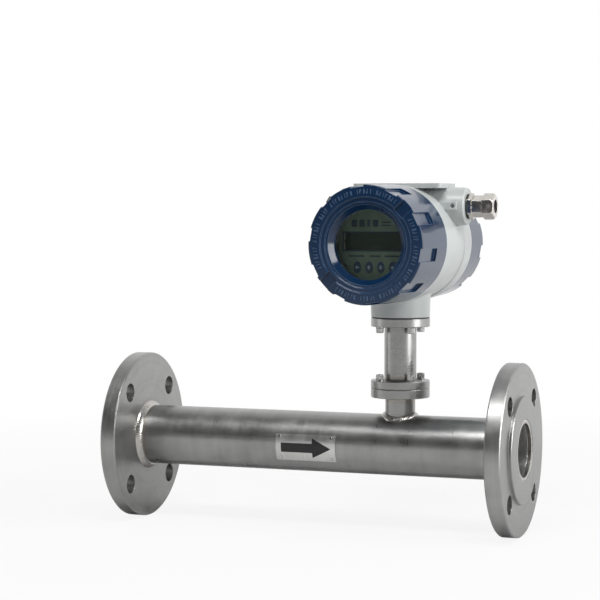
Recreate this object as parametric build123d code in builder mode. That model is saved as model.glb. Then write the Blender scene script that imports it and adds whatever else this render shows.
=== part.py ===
"""Inline thermal mass flow meter: a flanged flow tube, a necked sensor and a two-compartment head.

The X axis is the tube's axis and points the way the gas flows. X is zero on the inlet flange's
raised face. Z is up along the neck, and the display looks along -Y. All sizes are millimetres.
"""
import os
from math import sqrt

from build123d import *

os.makedirs("parts", exist_ok=True)

# Flow tube
face_to_face = 396.0
tube_od = 57.0
tube_wall = 3.5
tube_setback = 4.0

# Pipe flanges
flange_od = 160.0
flange_thickness = 18.0
raised_face_od = 100.0
raised_face_height = 3.0
flange_bolt_inset = 5.0
flange_bolt_hole = 18.0
flange_bolt_count = 4
flange_edge_chamfer = 1.0
raised_edge_chamfer = 0.6
fillet_weld_leg = 5.0
face_weld_recess = 0.5

# Clearances
socket_gap = 0.15
cover_thread_gap = 0.3
cover_face_gap = 0.3
key_gap = 0.3
slip_gap = 0.1
screw_gap = 0.05
plate_seat_gap = 0.05

# Branch on the tube
neck_x = 276.0
nozzle_od = 28.0
nozzle_wall = 2.5
branch_weld_radius = 3.0
branch_flange_height = 45.3
neck_flange_od = 55.0
neck_flange_chamfer = 0.5
branch_flange_thickness = 8.5
sensor_flange_thickness = 7.5
neck_socket_depth = 4.0
branch_socket_depth = 5.5
o_ring_radius = 15.6
o_ring_section = 1.9

# Neck tube and head plate
neck_tube_od = 30.0
neck_tube_wall = 2.5
head_plate_thickness = 8.0
head_gasket_thickness = 1.0

# Neck screws
screw_circle = 43.0
screw_count = 4
screw_angle = 45.0
screw_diameter = 4.0
screw_head_diameter = 7.2
screw_head_height = 4.6
screw_head_chamfer = 0.4
screw_socket_flats = 3.2
screw_socket_depth = 2.4
screw_clearance_hole = 4.6
washer_diameter = 7.6
washer_thickness = 1.2
washer_split = 0.9
neck_screw_length = 14.0
head_screw_length = 18.0
tapped_depth_below_tip = 2.0

# Sensor probe
stem_diameter = 22.0
stem_wire_bore = 10.0
stem_tip_height = 16.0
guard_window_width = 14.0
guard_window_top = 13.0
guard_foot_thickness = 4.0
probe_diameter = 4.5
probe_spacing = 8.0
probe_socket_depth = 5.0
heated_probe_length = 21.0
reference_probe_length = 17.0

# Head housing
head_height = 189.0
housing_foot_drop = 68.5
thread_bore_radius = 47.3
housing_wall = 6.7
housing_front = 32.0
housing_rear = -50.0
collar_step = 0.8
collar_length = 22.0
rim_chamfer = 0.8
thread_length = 14.0
thread_relief = 1.3
partition_front = 3.0
partition_rear = -2.0
neck_radius = 27.4
neck_draft = 2.0
cast_radius = 3.0
neck_recess_radius = 14.0
neck_recess_depth = 12.0
wire_passage_radius = 6.0
wire_passage_ahead = 16.0

# Conduit bosses
conduit_ahead = -13.0
conduit_rise = 34.2
conduit_reach = 61.5
conduit_boss_radius = 17.4
conduit_root_radius = 20.0
conduit_thread_radius = 10.0
conduit_edge_chamfer = 1.0

# Plate pad on top, ledge and ground lug beside the conduit
pad_half_width = 43.0
pad_front = 14.0
pad_rear = -36.0
pad_top = 55.6
pad_thickness = 4.6
pad_corner_radius = 4.0
ledge_setback = 13.0
ledge_ahead = 5.6
ledge_height = 7.4
ledge_rise = 34.7
lug_width = 6.8
lug_proud = 1.4
ground_screw_length = 6.0
ground_screw_recess = 0.8
ground_screw_flats = 2.0

# Covers
front_cover_length = 71.7
rear_cover_length = 44.7
cover_proud = 0.4
cover_draft = 1.0
cover_wall = 8.0
cover_face_radius = 1.2
spigot_wall = 4.5
spigot_length = 13.7
spigot_groove_ahead = 2.0
cover_ring_section = 2.6
cover_band_width = 9.5
cover_step_depth = 1.4
cover_step_run = 0.7
cover_ledge_width = 3.4
funnel_width = 4.4
funnel_depth = 5.2
rear_cover_web = 4.8
flute_count = 10
flute_phase = -9.8
flute_width = 12.0
flute_depth = 1.9
flute_start = 29.0
slot_angle = 42.5
slot_width = 11.5
slot_depth = 2.6
slot_inset = 12.8

# Window
aperture_radius = 31.4
aperture_land = 4.5
glass_overlap = 5.6
glass_thickness = 7.0
window_gasket_thickness = 0.8
window_ring_overlap = 2.8
window_ring_thickness = 6.0
window_ring_bore = 33.0
window_ring_notch = 3.0

# Display
faceplate_front = 73.0
faceplate_radius = 38.0
faceplate_thickness = 2.0
display_screw_across = 60.0
display_screw_up = 39.2
lcd_window_width = 59.0
lcd_window_height = 15.4
lcd_rise = 2.7
lcd_frame_margin_x = 3.5
lcd_frame_margin_y = 4.3
lcd_frame_depth = 7.1
lcd_frame_wall = 1.0
lcd_panel_margin = 1.6
lcd_panel_thickness = 3.0
key_count = 4
key_pitch = 11.1
key_width = 6.6
key_height = 10.4
key_drop = 20.6
key_proud = 1.0
key_travel = 0.5
key_lip = 0.9
key_lip_thickness = 1.2
key_stem_radius = 1.7
switch_size = 6.0
switch_height = 3.4
switch_plunger_radius = 1.5
switch_plunger_height = 0.8
board_thickness = 1.6
display_board_radius = 37.0
spacer_length = 7.4
main_board_radius = 40.0
main_board_ahead = 20.0
standoff_flats = 5.5
standoff_stud = 4.0
display_screw_diameter = 3.0
display_screw_head = 5.0
display_screw_head_height = 1.4
display_screw_length = 13.0
display_screw_slot = 0.8

# Terminal compartment
terminal_width = 56.0
terminal_height = 18.0
terminal_depth = 15.0
terminal_step = 6.0
terminal_count = 6
terminal_screw_radius = 2.6
terminal_screw_height = 1.6
terminal_drop = 6.0
block_screw_radius = 2.5
block_screw_inset = 4.0
block_screw_shank = 1.5
block_screw_bite = 3.0
earth_screw_radius = 3.6
earth_screw_height = 2.6
earth_screw_drop = 28.0

# Cable gland and blanking plug
gland_seal_thickness = 1.5
gland_seal_radius = 11.6
gland_base_flats = 21.0
gland_base_length = 4.0
gland_shank_length = 9.0
gland_body_flats = 17.6
gland_body_length = 9.0
gland_neck_radius = 8.4
gland_nut_gap = 0.9
gland_tighten_gap = 0.6
gland_nut_flats = 21.0
gland_nut_length = 10.6
gland_nut_bevel = 0.6
gland_dome_length = 2.6
gland_end_wall = 2.0
gland_bore_radius = 6.2
gland_insert_bore = 5.0
gland_insert_radius = 7.2
gland_insert_length = 8.0
plug_flange_radius = 11.4
plug_flange_thickness = 3.0
plug_head_flats = 17.0
plug_head_length = 9.5

# Flow arrow plate
plate_start = 162.0
plate_length = 59.4
plate_arc = 51.0
plate_top_angle = 18.5
plate_thickness = 0.8
rivet_inset = 4.0
rivet_arc_inset = 5.5
rivet_radius = 1.2
rivet_head_radius = 1.7
rivet_head_height = 0.7
rivet_depth = 2.4

# Derived radii and levels of the tube and neck
tube_radius = tube_od / 2
tube_bore_radius = tube_radius - tube_wall
flange_bore_radius = tube_radius + socket_gap
flange_bolt_circle = (flange_od + raised_face_od) / 2 - flange_bolt_inset
nozzle_bore_radius = nozzle_od / 2 - nozzle_wall
joint_height = branch_flange_height + branch_flange_thickness
sensor_flange_top = joint_height + sensor_flange_thickness
housing_bottom = head_height - housing_foot_drop
head_plate_top = housing_bottom - head_gasket_thickness
head_plate_bottom = head_plate_top - head_plate_thickness
neck_tube_bore_radius = neck_tube_od / 2 - neck_tube_wall
screw_circle_radius = screw_circle / 2
tapped_radius = screw_diameter / 2 + screw_gap

# Derived radii and depths of the head, depths counted ahead of the neck's axis
barrel_radius = thread_bore_radius + housing_wall
cavity_radius = thread_bore_radius - thread_relief
spigot_radius = thread_bore_radius - cover_thread_gap
spigot_bore = spigot_radius - spigot_wall
cover_radius = barrel_radius + cover_proud
cover_face_radius_outer = cover_radius - cover_draft
cover_bore = cover_radius - cover_wall
cover_ring_radius = spigot_radius - cover_ring_section / 2
groove_radius = spigot_radius - cover_ring_section - slip_gap
front_shoulder = housing_front + cover_face_gap
rear_shoulder = housing_rear - cover_face_gap
front_face = front_shoulder + front_cover_length
rear_face = rear_shoulder - rear_cover_length
flute_floor = cover_face_radius_outer - flute_depth
slot_start = cover_face_radius_outer - slot_inset
band_inner = cover_face_radius_outer - cover_face_radius - cover_band_width
glass_radius = aperture_radius + glass_overlap
glass_pocket_radius = glass_radius + slip_gap
aperture_top = front_face - 2 * cover_step_depth - funnel_depth
glass_shoulder = aperture_top - aperture_land
glass_front = glass_shoulder - window_gasket_thickness
glass_back = glass_front - glass_thickness
window_ring_radius = glass_radius + window_ring_overlap
window_ring_back = glass_back - window_ring_thickness
faceplate_back = faceplate_front - faceplate_thickness
display_board_front = faceplate_back - spacer_length
display_board_back = display_board_front - board_thickness
main_board_back = main_board_ahead - board_thickness
conduit_face = conduit_reach + gland_seal_thickness
ledge_reach = conduit_reach - ledge_setback

# Planes and axes
neck_foot = Plane(origin=(neck_x, 0, 0))
head_centre = (neck_x, 0, head_height)
head_axis = Axis(head_centre, (0, -1, 0))
head_section = Plane(origin=head_centre, x_dir=(1, 0, 0), z_dir=(0, 0, -1))
conduit_axis = Axis((neck_x, -conduit_ahead, head_height + conduit_rise), (1, 0, 0))
conduit_section = Plane(origin=conduit_axis.position, x_dir=(1, 0, 0), z_dir=(0, -1, 0))


def head_plane(ahead):
    """A plane across the head's axis, facing the display side, this far ahead of the neck."""
    return Plane(origin=(neck_x, -ahead, head_height), x_dir=(1, 0, 0), z_dir=(0, -1, 0))


def conduit_plane(side, reach):
    """A plane across a conduit entry's axis, facing out of the head on the given side."""
    centre = (neck_x + side * reach, -conduit_ahead, head_height + conduit_rise)
    return Plane(origin=centre, x_dir=(0, side, 0), z_dir=(side, 0, 0))


def finish(piece, label):
    """Label a finished piece and write it to its STEP file."""
    piece.part.label = label
    export_step(piece.part, f"parts/{label}.step")


# Flow tube, with the branch opening and the rivet holes under the arrow plate
plate_bottom_angle = plate_top_angle - plate_arc
rivet_angles = (plate_top_angle - rivet_arc_inset, plate_bottom_angle + rivet_arc_inset)
rivet_places = (plate_start + rivet_inset, plate_start + plate_length - rivet_inset)


def rivet_plane(along, angle, radius):
    """A plane tangent to the tube where a rivet stands, facing outwards."""
    radial = Vector(0, -1, 0).rotate(Axis.X, -angle)
    return Plane(origin=Vector(along, 0, 0) + radial * radius, x_dir=(1, 0, 0), z_dir=radial)


rivet_seats = [(along, angle) for along in rivet_places for angle in rivet_angles]

plate_radius = tube_radius + plate_seat_gap + plate_thickness
with BuildPart() as flow_tube:
    with BuildSketch(Plane.YZ.offset(tube_setback)):
        Circle(tube_radius)
        Circle(tube_bore_radius, mode=Mode.SUBTRACT)
    extrude(amount=face_to_face - 2 * tube_setback)
    with BuildSketch(neck_foot):
        Circle(nozzle_bore_radius)
    extrude(amount=tube_od, mode=Mode.SUBTRACT)
    for along, angle in rivet_seats:
        with BuildSketch(rivet_plane(along, angle, plate_radius)):
            Circle(rivet_radius)
        extrude(amount=-rivet_depth - screw_gap, mode=Mode.SUBTRACT)
finish(flow_tube, "flow_tube")


# Slip-on flanges, drawn from the raised face towards the back
def pipe_flange(face):
    """One flange with its raised face on the given plane, whose normal points to its back."""
    with BuildPart() as flange:
        with BuildSketch(face.offset(raised_face_height)):
            Circle(flange_od / 2)
        extrude(amount=flange_thickness - raised_face_height)
        chamfer(flange.edges().filter_by(GeomType.CIRCLE), length=flange_edge_chamfer)
        with BuildSketch(face):
            Circle(raised_face_od / 2)
        extrude(amount=raised_face_height)
        face_axis = Axis(face.origin, face.z_dir)
        raised_edge = flange.edges().filter_by(GeomType.CIRCLE).group_by(face_axis)[0]
        chamfer(raised_edge, length=raised_edge_chamfer)
        with Locations(face):
            Hole(flange_bore_radius)
            with PolarLocations(flange_bolt_circle / 2, flange_bolt_count, start_angle=45):
                Hole(flange_bolt_hole / 2)
    return flange


inlet_face = Plane(origin=(0, 0, 0), x_dir=(0, 1, 0), z_dir=(1, 0, 0))
outlet_face = Plane(origin=(face_to_face, 0, 0), x_dir=(0, 1, 0), z_dir=(-1, 0, 0))
flange_faces = {"inlet_flange": inlet_face, "outlet_flange": outlet_face}
for label, face in flange_faces.items():
    finish(pipe_flange(face), label)

# Welds of the tube to both flanges: a fillet behind each and a flush seam at each face
with BuildPart() as flange_welds:
    for face in flange_faces.values():
        inward = face.z_dir.X
        back = face.origin.X + inward * flange_thickness
        with BuildSketch(Plane.XZ):
            with BuildLine():
                Polyline(
                    (back, tube_radius),
                    (back + inward * fillet_weld_leg, tube_radius),
                    (back, tube_radius + fillet_weld_leg),
                    close=True,
                )
            make_face()
            with BuildLine():
                Polyline(
                    (face.origin.X + inward * face_weld_recess, tube_bore_radius),
                    (face.origin.X + inward * tube_setback, tube_bore_radius),
                    (face.origin.X + inward * tube_setback, flange_bore_radius),
                    (face.origin.X + inward * face_weld_recess, flange_bore_radius),
                    close=True,
                )
            make_face()
        revolve(axis=Axis.X)
finish(flange_welds, "flange_welds")

# Branch nozzle, coped to sit on the tube
with BuildPart() as branch_nozzle:
    with BuildSketch(neck_foot):
        Circle(nozzle_od / 2)
        Circle(nozzle_bore_radius, mode=Mode.SUBTRACT)
    extrude(amount=branch_flange_height + branch_socket_depth)
    with BuildSketch(Plane.YZ):
        Circle(tube_radius)
    extrude(amount=face_to_face, mode=Mode.SUBTRACT)
finish(branch_nozzle, "branch_nozzle")

# Weld bead round the foot of the nozzle: the fillet between both cylinders, less the cylinders
with BuildPart() as branch_weld:
    with BuildSketch(neck_foot):
        Circle(nozzle_od / 2)
    extrude(amount=branch_flange_height)
    with BuildSketch(Plane.YZ.offset(neck_x - nozzle_od)):
        Circle(tube_radius)
    extrude(amount=2 * nozzle_od)
    round_and_straight = (GeomType.CIRCLE, GeomType.LINE)
    saddle = branch_weld.edges().filter_by(lambda edge: edge.geom_type not in round_and_straight)
    fillet(saddle, radius=branch_weld_radius)
    with BuildSketch(neck_foot):
        Circle(nozzle_od / 2)
    extrude(amount=branch_flange_height, mode=Mode.SUBTRACT)
    with BuildSketch(Plane.YZ.offset(neck_x - nozzle_od)):
        Circle(tube_radius)
    extrude(amount=2 * nozzle_od, mode=Mode.SUBTRACT)
finish(branch_weld, "branch_weld")

# Branch flange: welded to the nozzle below, with an O-ring groove and tapped holes above
branch_flange_plane = neck_foot.offset(branch_flange_height)
joint_plane = neck_foot.offset(joint_height)
neck_tip_depth = neck_screw_length - washer_thickness - sensor_flange_thickness
with BuildPart() as branch_flange:
    with BuildSketch(branch_flange_plane):
        Circle(neck_flange_od / 2)
    extrude(amount=branch_flange_thickness)
    chamfer(branch_flange.edges().filter_by(GeomType.CIRCLE), length=neck_flange_chamfer)
    with Locations(branch_flange_plane):
        Hole(nozzle_bore_radius)
    with BuildSketch(branch_flange_plane):
        Circle(nozzle_od / 2 + socket_gap)
    extrude(amount=branch_socket_depth, mode=Mode.SUBTRACT)
    with BuildSketch(joint_plane):
        Circle(o_ring_radius + o_ring_section / 2 + slip_gap)
        Circle(o_ring_radius - o_ring_section / 2 - slip_gap, mode=Mode.SUBTRACT)
    extrude(amount=-o_ring_section, mode=Mode.SUBTRACT)
    with Locations(joint_plane):
        with PolarLocations(screw_circle_radius, screw_count, start_angle=screw_angle):
            Hole(tapped_radius, depth=neck_tip_depth + tapped_depth_below_tip)
finish(branch_flange, "branch_flange")

with BuildPart() as branch_o_ring:
    with BuildSketch(Plane(origin=(neck_x, 0, joint_height), x_dir=(1, 0, 0), z_dir=(0, -1, 0))):
        with Locations((o_ring_radius, -o_ring_section / 2)):
            Circle(o_ring_section / 2)
    revolve(axis=Axis((neck_x, 0, joint_height), (0, 0, 1)))
finish(branch_o_ring, "branch_o_ring")

# Sensor flange: carries the probe stem below and the neck tube above
sensor_flange_top_plane = neck_foot.offset(sensor_flange_top)
neck_tube_foot = sensor_flange_top - neck_socket_depth
with BuildPart() as sensor_flange:
    with BuildSketch(joint_plane):
        Circle(neck_flange_od / 2)
    extrude(amount=sensor_flange_thickness)
    chamfer(sensor_flange.edges().filter_by(GeomType.CIRCLE), length=neck_flange_chamfer)
    with Locations(sensor_flange_top_plane):
        CounterBoreHole(stem_diameter / 2 + socket_gap, neck_tube_od / 2 + socket_gap, neck_socket_depth)
        with PolarLocations(screw_circle_radius, screw_count, start_angle=screw_angle):
            Hole(screw_clearance_hole / 2)
finish(sensor_flange, "sensor_flange")

# Neck tube, let into the plates at both ends
neck_tube_top = head_plate_bottom + neck_socket_depth
with BuildPart() as neck_tube:
    with BuildSketch(neck_foot.offset(neck_tube_foot)):
        Circle(neck_tube_od / 2)
        Circle(neck_tube_bore_radius, mode=Mode.SUBTRACT)
    extrude(amount=neck_tube_top - neck_tube_foot)
finish(neck_tube, "neck_tube")

# Head plate under the housing
head_plate_plane = neck_foot.offset(head_plate_bottom)
with BuildPart() as head_plate:
    with BuildSketch(head_plate_plane):
        Circle(neck_flange_od / 2)
    extrude(amount=head_plate_thickness)
    chamfer(head_plate.edges().filter_by(GeomType.CIRCLE), length=neck_flange_chamfer)
    with Locations(Plane(origin=(neck_x, 0, head_plate_bottom), z_dir=(0, 0, -1))):
        CounterBoreHole(neck_tube_bore_radius, neck_tube_od / 2 + socket_gap, neck_socket_depth)
        with PolarLocations(screw_circle_radius, screw_count, start_angle=screw_angle):
            Hole(screw_clearance_hole / 2)
finish(head_plate, "head_plate")

with BuildPart() as head_gasket:
    with BuildSketch(neck_foot.offset(head_plate_top)):
        Circle(neck_flange_od / 2 - neck_flange_chamfer)
        Circle(neck_recess_radius, mode=Mode.SUBTRACT)
        with PolarLocations(screw_circle_radius, screw_count, start_angle=screw_angle):
            Circle(screw_clearance_hole / 2, mode=Mode.SUBTRACT)
    extrude(amount=head_gasket_thickness)
finish(head_gasket, "head_gasket")


# Socket cap screws and split washers of both neck joints
def cap_screws(seat, length):
    """A ring of socket cap screws whose washers stand on the seat plane, shanks against its normal."""
    head_foot = seat.offset(washer_thickness)
    ring = {"radius": screw_circle_radius, "count": screw_count, "start_angle": screw_angle}
    with BuildPart() as screws:
        with BuildSketch(head_foot):
            with PolarLocations(**ring):
                Circle(screw_head_diameter / 2)
        extrude(amount=screw_head_height)
        seat_axis = Axis(seat.origin, seat.z_dir)
        chamfer(screws.edges().group_by(seat_axis)[-1], length=screw_head_chamfer)
        with BuildSketch(head_foot.offset(screw_head_height)):
            with PolarLocations(**ring):
                RegularPolygon(screw_socket_flats / 2, 6, major_radius=False)
        extrude(amount=-screw_socket_depth, mode=Mode.SUBTRACT)
        with BuildSketch(head_foot):
            with PolarLocations(**ring):
                Circle(screw_diameter / 2)
        extrude(amount=-length)
    return screws


def split_washers(seat):
    """A ring of split spring washers that stand on the seat plane."""
    ring = {"radius": screw_circle_radius, "count": screw_count, "start_angle": screw_angle}
    with BuildPart() as washers:
        with BuildSketch(seat):
            with PolarLocations(**ring):
                Circle(washer_diameter / 2)
                Circle(screw_clearance_hole / 2, mode=Mode.SUBTRACT)
                slit = (washer_diameter, washer_split)
                Rectangle(*slit, align=(Align.MIN, Align.CENTER), mode=Mode.SUBTRACT)
        extrude(amount=washer_thickness)
    return washers


under_head_plate = Plane(origin=(neck_x, 0, head_plate_bottom), x_dir=(1, 0, 0), z_dir=(0, 0, -1))
finish(cap_screws(sensor_flange_top_plane, neck_screw_length), "neck_screws")
finish(split_washers(sensor_flange_top_plane), "neck_washers")
finish(cap_screws(under_head_plate, head_screw_length), "head_screws")
finish(split_washers(under_head_plate), "head_washers")

# Probe stem: a turned bar whose foot is a guard, open along the flow
stem_top = neck_tube_foot
stem_foot = -stem_tip_height
probe_root = guard_window_top + probe_socket_depth
with BuildPart() as probe_stem:
    with BuildSketch(neck_foot.offset(stem_foot)):
        Circle(stem_diameter / 2)
    extrude(amount=stem_top - stem_foot)
    chamfer(probe_stem.edges().filter_by(GeomType.CIRCLE).group_by(Axis.Z)[0], length=neck_flange_chamfer)
    with BuildSketch(Plane(origin=(neck_x - stem_diameter, 0, 0), x_dir=(0, 1, 0), z_dir=(1, 0, 0))):
        with Locations((0, stem_foot + guard_foot_thickness)):
            Rectangle(
                guard_window_width,
                guard_window_top - stem_foot - guard_foot_thickness,
                align=(Align.CENTER, Align.MIN),
            )
    extrude(amount=2 * stem_diameter, mode=Mode.SUBTRACT)
    with BuildSketch(neck_foot.offset(guard_window_top)):
        with Locations((0, probe_spacing / 2), (0, -probe_spacing / 2)):
            Circle(probe_diameter / 2 + screw_gap)
    extrude(amount=probe_socket_depth, mode=Mode.SUBTRACT)
    with BuildSketch(neck_foot.offset(stem_top)):
        Circle(stem_wire_bore / 2)
    extrude(amount=probe_root - stem_top, mode=Mode.SUBTRACT)
finish(probe_stem, "probe_stem")


# Heated and reference probes: closed tubes with round tips
def probe(across, length):
    """One probe that hangs from its socket in the stem, offset across the flow."""
    with BuildPart() as rod:
        with BuildSketch(Plane(origin=(neck_x, across, probe_root))):
            Circle(probe_diameter / 2)
        extrude(amount=-probe_socket_depth - length)
        fillet(rod.edges().filter_by(GeomType.CIRCLE).group_by(Axis.Z)[0], radius=0.98 * probe_diameter / 2)
    return rod


finish(probe(-probe_spacing / 2, heated_probe_length), "heated_probe")
finish(probe(probe_spacing / 2, reference_probe_length), "reference_probe")

# Housing: a cast barrel with a neck below, conduit bosses at both sides and a plate pad on top
collar_front = housing_rear + collar_length
ground_plane = Plane(
    origin=(neck_x + ledge_reach + lug_width / 2, -ledge_ahead - lug_proud, head_height + ledge_rise),
    x_dir=(1, 0, 0),
    z_dir=(0, -1, 0),
)
block_screw_reach = terminal_width / 2 - block_screw_inset
block_screw_drop = terminal_drop + terminal_step / 2
block_screw_places = [(block_screw_reach, -block_screw_drop), (-block_screw_reach, -block_screw_drop)]
with BuildPart() as housing_body:
    with BuildSketch(head_section):
        with BuildLine():
            Polyline(
                (0, housing_front),
                (barrel_radius - rim_chamfer, housing_front),
                (barrel_radius, housing_front - rim_chamfer),
                (barrel_radius, housing_rear),
                (0, housing_rear),
                close=True,
            )
        make_face()
    revolve(axis=head_axis)
    with BuildSketch(neck_foot.offset(housing_bottom)):
        Circle(neck_radius)
    extrude(amount=head_height - housing_bottom, taper=-neck_draft)
    neck_join = housing_body.edges(Select.NEW).filter_by(GeomType.BSPLINE)
    fillet(neck_join, radius=cast_radius)
    with BuildSketch(conduit_section):
        with BuildLine():
            Polyline(
                (-conduit_reach, 0),
                (-conduit_reach, conduit_boss_radius - conduit_edge_chamfer),
                (-conduit_reach + conduit_edge_chamfer, conduit_boss_radius),
                (0, conduit_root_radius),
                (conduit_reach - conduit_edge_chamfer, conduit_boss_radius),
                (conduit_reach, conduit_boss_radius - conduit_edge_chamfer),
                (conduit_reach, 0),
                close=True,
            )
        make_face()
    revolve(axis=conduit_axis)
    with BuildSketch(head_section):
        with BuildLine():
            Polyline(
                (cavity_radius, collar_front),
                (barrel_radius, collar_front + collar_step),
                (barrel_radius + collar_step, collar_front),
                (barrel_radius + collar_step, housing_rear + rim_chamfer),
                (barrel_radius + collar_step - rim_chamfer, housing_rear),
                (cavity_radius, housing_rear),
                close=True,
            )
        make_face()
    revolve(axis=head_axis)
    with BuildSketch(Plane(origin=(neck_x, -(pad_front + pad_rear) / 2, head_height + pad_top))):
        RectangleRounded(2 * pad_half_width, pad_front - pad_rear, pad_corner_radius)
    extrude(amount=-pad_thickness)
    with BuildSketch(Plane(origin=(neck_x, 0, head_height + ledge_rise), x_dir=(1, 0, 0), z_dir=(0, 0, 1))):
        with Locations((ledge_reach, -ledge_ahead)):
            Rectangle(ledge_reach / 2, ledge_ahead - conduit_ahead, align=(Align.MAX, Align.MIN))
        with Locations((ledge_reach, -ledge_ahead - lug_proud)):
            Rectangle(lug_width, ledge_ahead + lug_proud - conduit_ahead, align=(Align.MIN, Align.MIN))
    extrude(amount=ledge_height / 2, both=True)
    with BuildSketch(head_section):
        with BuildLine():
            Polyline(
                (0, partition_front),
                (cavity_radius, partition_front),
                (cavity_radius, housing_front - thread_length),
                (thread_bore_radius, housing_front - thread_length),
                (thread_bore_radius, housing_front),
                (0, housing_front),
                close=True,
            )
        make_face()
        with BuildLine():
            Polyline(
                (0, partition_rear),
                (cavity_radius, partition_rear),
                (cavity_radius, housing_rear + thread_length),
                (thread_bore_radius, housing_rear + thread_length),
                (thread_bore_radius, housing_rear),
                (0, housing_rear),
                close=True,
            )
        make_face()
    revolve(axis=head_axis, mode=Mode.SUBTRACT)
    for side in (1, -1):
        with BuildSketch(conduit_plane(side, conduit_reach)):
            Circle(conduit_thread_radius)
        extrude(amount=-conduit_reach / 2, mode=Mode.SUBTRACT)
    with BuildSketch(neck_foot.offset(housing_bottom)):
        Circle(neck_recess_radius)
    extrude(amount=neck_recess_depth, mode=Mode.SUBTRACT)
    with BuildSketch(Plane(origin=(neck_x, -wire_passage_ahead, housing_bottom + neck_recess_depth))):
        Circle(wire_passage_radius)
    extrude(amount=head_height - cavity_radius / 2 - housing_bottom - neck_recess_depth, mode=Mode.SUBTRACT)
    with Locations(Plane(origin=(neck_x, 0, housing_bottom), z_dir=(0, 0, -1))):
        with PolarLocations(screw_circle_radius, screw_count, start_angle=screw_angle):
            Hole(tapped_radius, depth=head_screw_length + tapped_depth_below_tip - head_plate_thickness)
    with Locations(ground_plane):
        Hole(tapped_radius, depth=ground_screw_length + ground_screw_recess)
    with BuildSketch(head_plane(partition_rear)):
        with Locations(*block_screw_places):
            Circle(block_screw_shank + screw_gap)
    extrude(amount=block_screw_bite + screw_gap, mode=Mode.SUBTRACT)
finish(housing_body, "housing_body")

# Ground set screw in the lug
ground_seat = ground_plane.offset(-ground_screw_recess)
with BuildPart() as ground_screw:
    with BuildSketch(ground_seat):
        Circle(screw_diameter / 2)
    extrude(amount=-ground_screw_length)
    with BuildSketch(ground_seat):
        RegularPolygon(ground_screw_flats / 2, 6, major_radius=False)
    extrude(amount=-ground_screw_length / 2, mode=Mode.SUBTRACT)
finish(ground_screw, "ground_screw")


# Grip flutes and wrench slots that both covers share
def grip_cutter(face_ahead, joint_ahead):
    """The bars that a cutter takes out of a cover for its flutes and its two wrench slots."""
    inward = 1 if face_ahead < joint_ahead else -1
    flute_length = abs(face_ahead - joint_ahead) - flute_start
    with BuildPart() as cutter:
        with BuildSketch(head_plane(face_ahead)):
            with PolarLocations(flute_floor, flute_count, start_angle=flute_phase):
                Rectangle(2 * flute_depth + cover_draft, flute_width, align=(Align.MIN, Align.CENTER))
        extrude(amount=inward * flute_length)
        with BuildSketch(head_plane(face_ahead)):
            with PolarLocations(slot_start, 2, start_angle=slot_angle):
                Rectangle(2 * slot_inset, slot_width, align=(Align.MIN, Align.CENTER))
        extrude(amount=inward * slot_depth)
    return cutter.part


# Front cover: threaded spigot, window seat and the stepped ring round the aperture
step_outer = band_inner - cover_step_run
step_inner = step_outer - cover_ledge_width
inner_ledge_outer = step_inner - cover_step_run
funnel_outer = aperture_radius + funnel_width
first_step = front_face - cover_step_depth
second_step = front_face - 2 * cover_step_depth
spigot_end = front_shoulder - spigot_length
groove_front = front_shoulder - spigot_groove_ahead
groove_back = groove_front - cover_ring_section - 2 * slip_gap
ring_pocket_radius = window_ring_radius + slip_gap
front_grip = grip_cutter(front_face, front_shoulder)
with BuildPart() as front_cover:
    with BuildSketch(head_section):
        with BuildLine():
            Polyline(
                (spigot_bore, spigot_end),
                (spigot_radius, spigot_end),
                (spigot_radius, groove_back),
                (groove_radius, groove_back),
                (groove_radius, groove_front),
                (spigot_radius, groove_front),
                (spigot_radius, front_shoulder),
                (cover_radius, front_shoulder),
                (cover_face_radius_outer, front_face),
                (band_inner, front_face),
                (step_outer, first_step),
                (step_inner, first_step),
                (inner_ledge_outer, second_step),
                (funnel_outer, second_step),
                (aperture_radius, aperture_top),
                (aperture_radius, glass_shoulder),
                (glass_pocket_radius, glass_shoulder),
                (glass_pocket_radius, glass_back),
                (ring_pocket_radius, glass_back),
                (ring_pocket_radius, window_ring_back),
                (cover_bore, window_ring_back - cover_bore + ring_pocket_radius),
                (cover_bore, front_shoulder + cover_bore - spigot_bore),
                (spigot_bore, front_shoulder),
                close=True,
            )
        make_face()
    revolve(axis=head_axis)
    face_circles = front_cover.edges().filter_by(GeomType.CIRCLE).group_by(Axis.Y)[0]
    fillet(face_circles.sort_by(SortBy.RADIUS)[-1], radius=cover_face_radius)
    add(front_grip, mode=Mode.SUBTRACT)
finish(front_cover, "front_cover")

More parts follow.
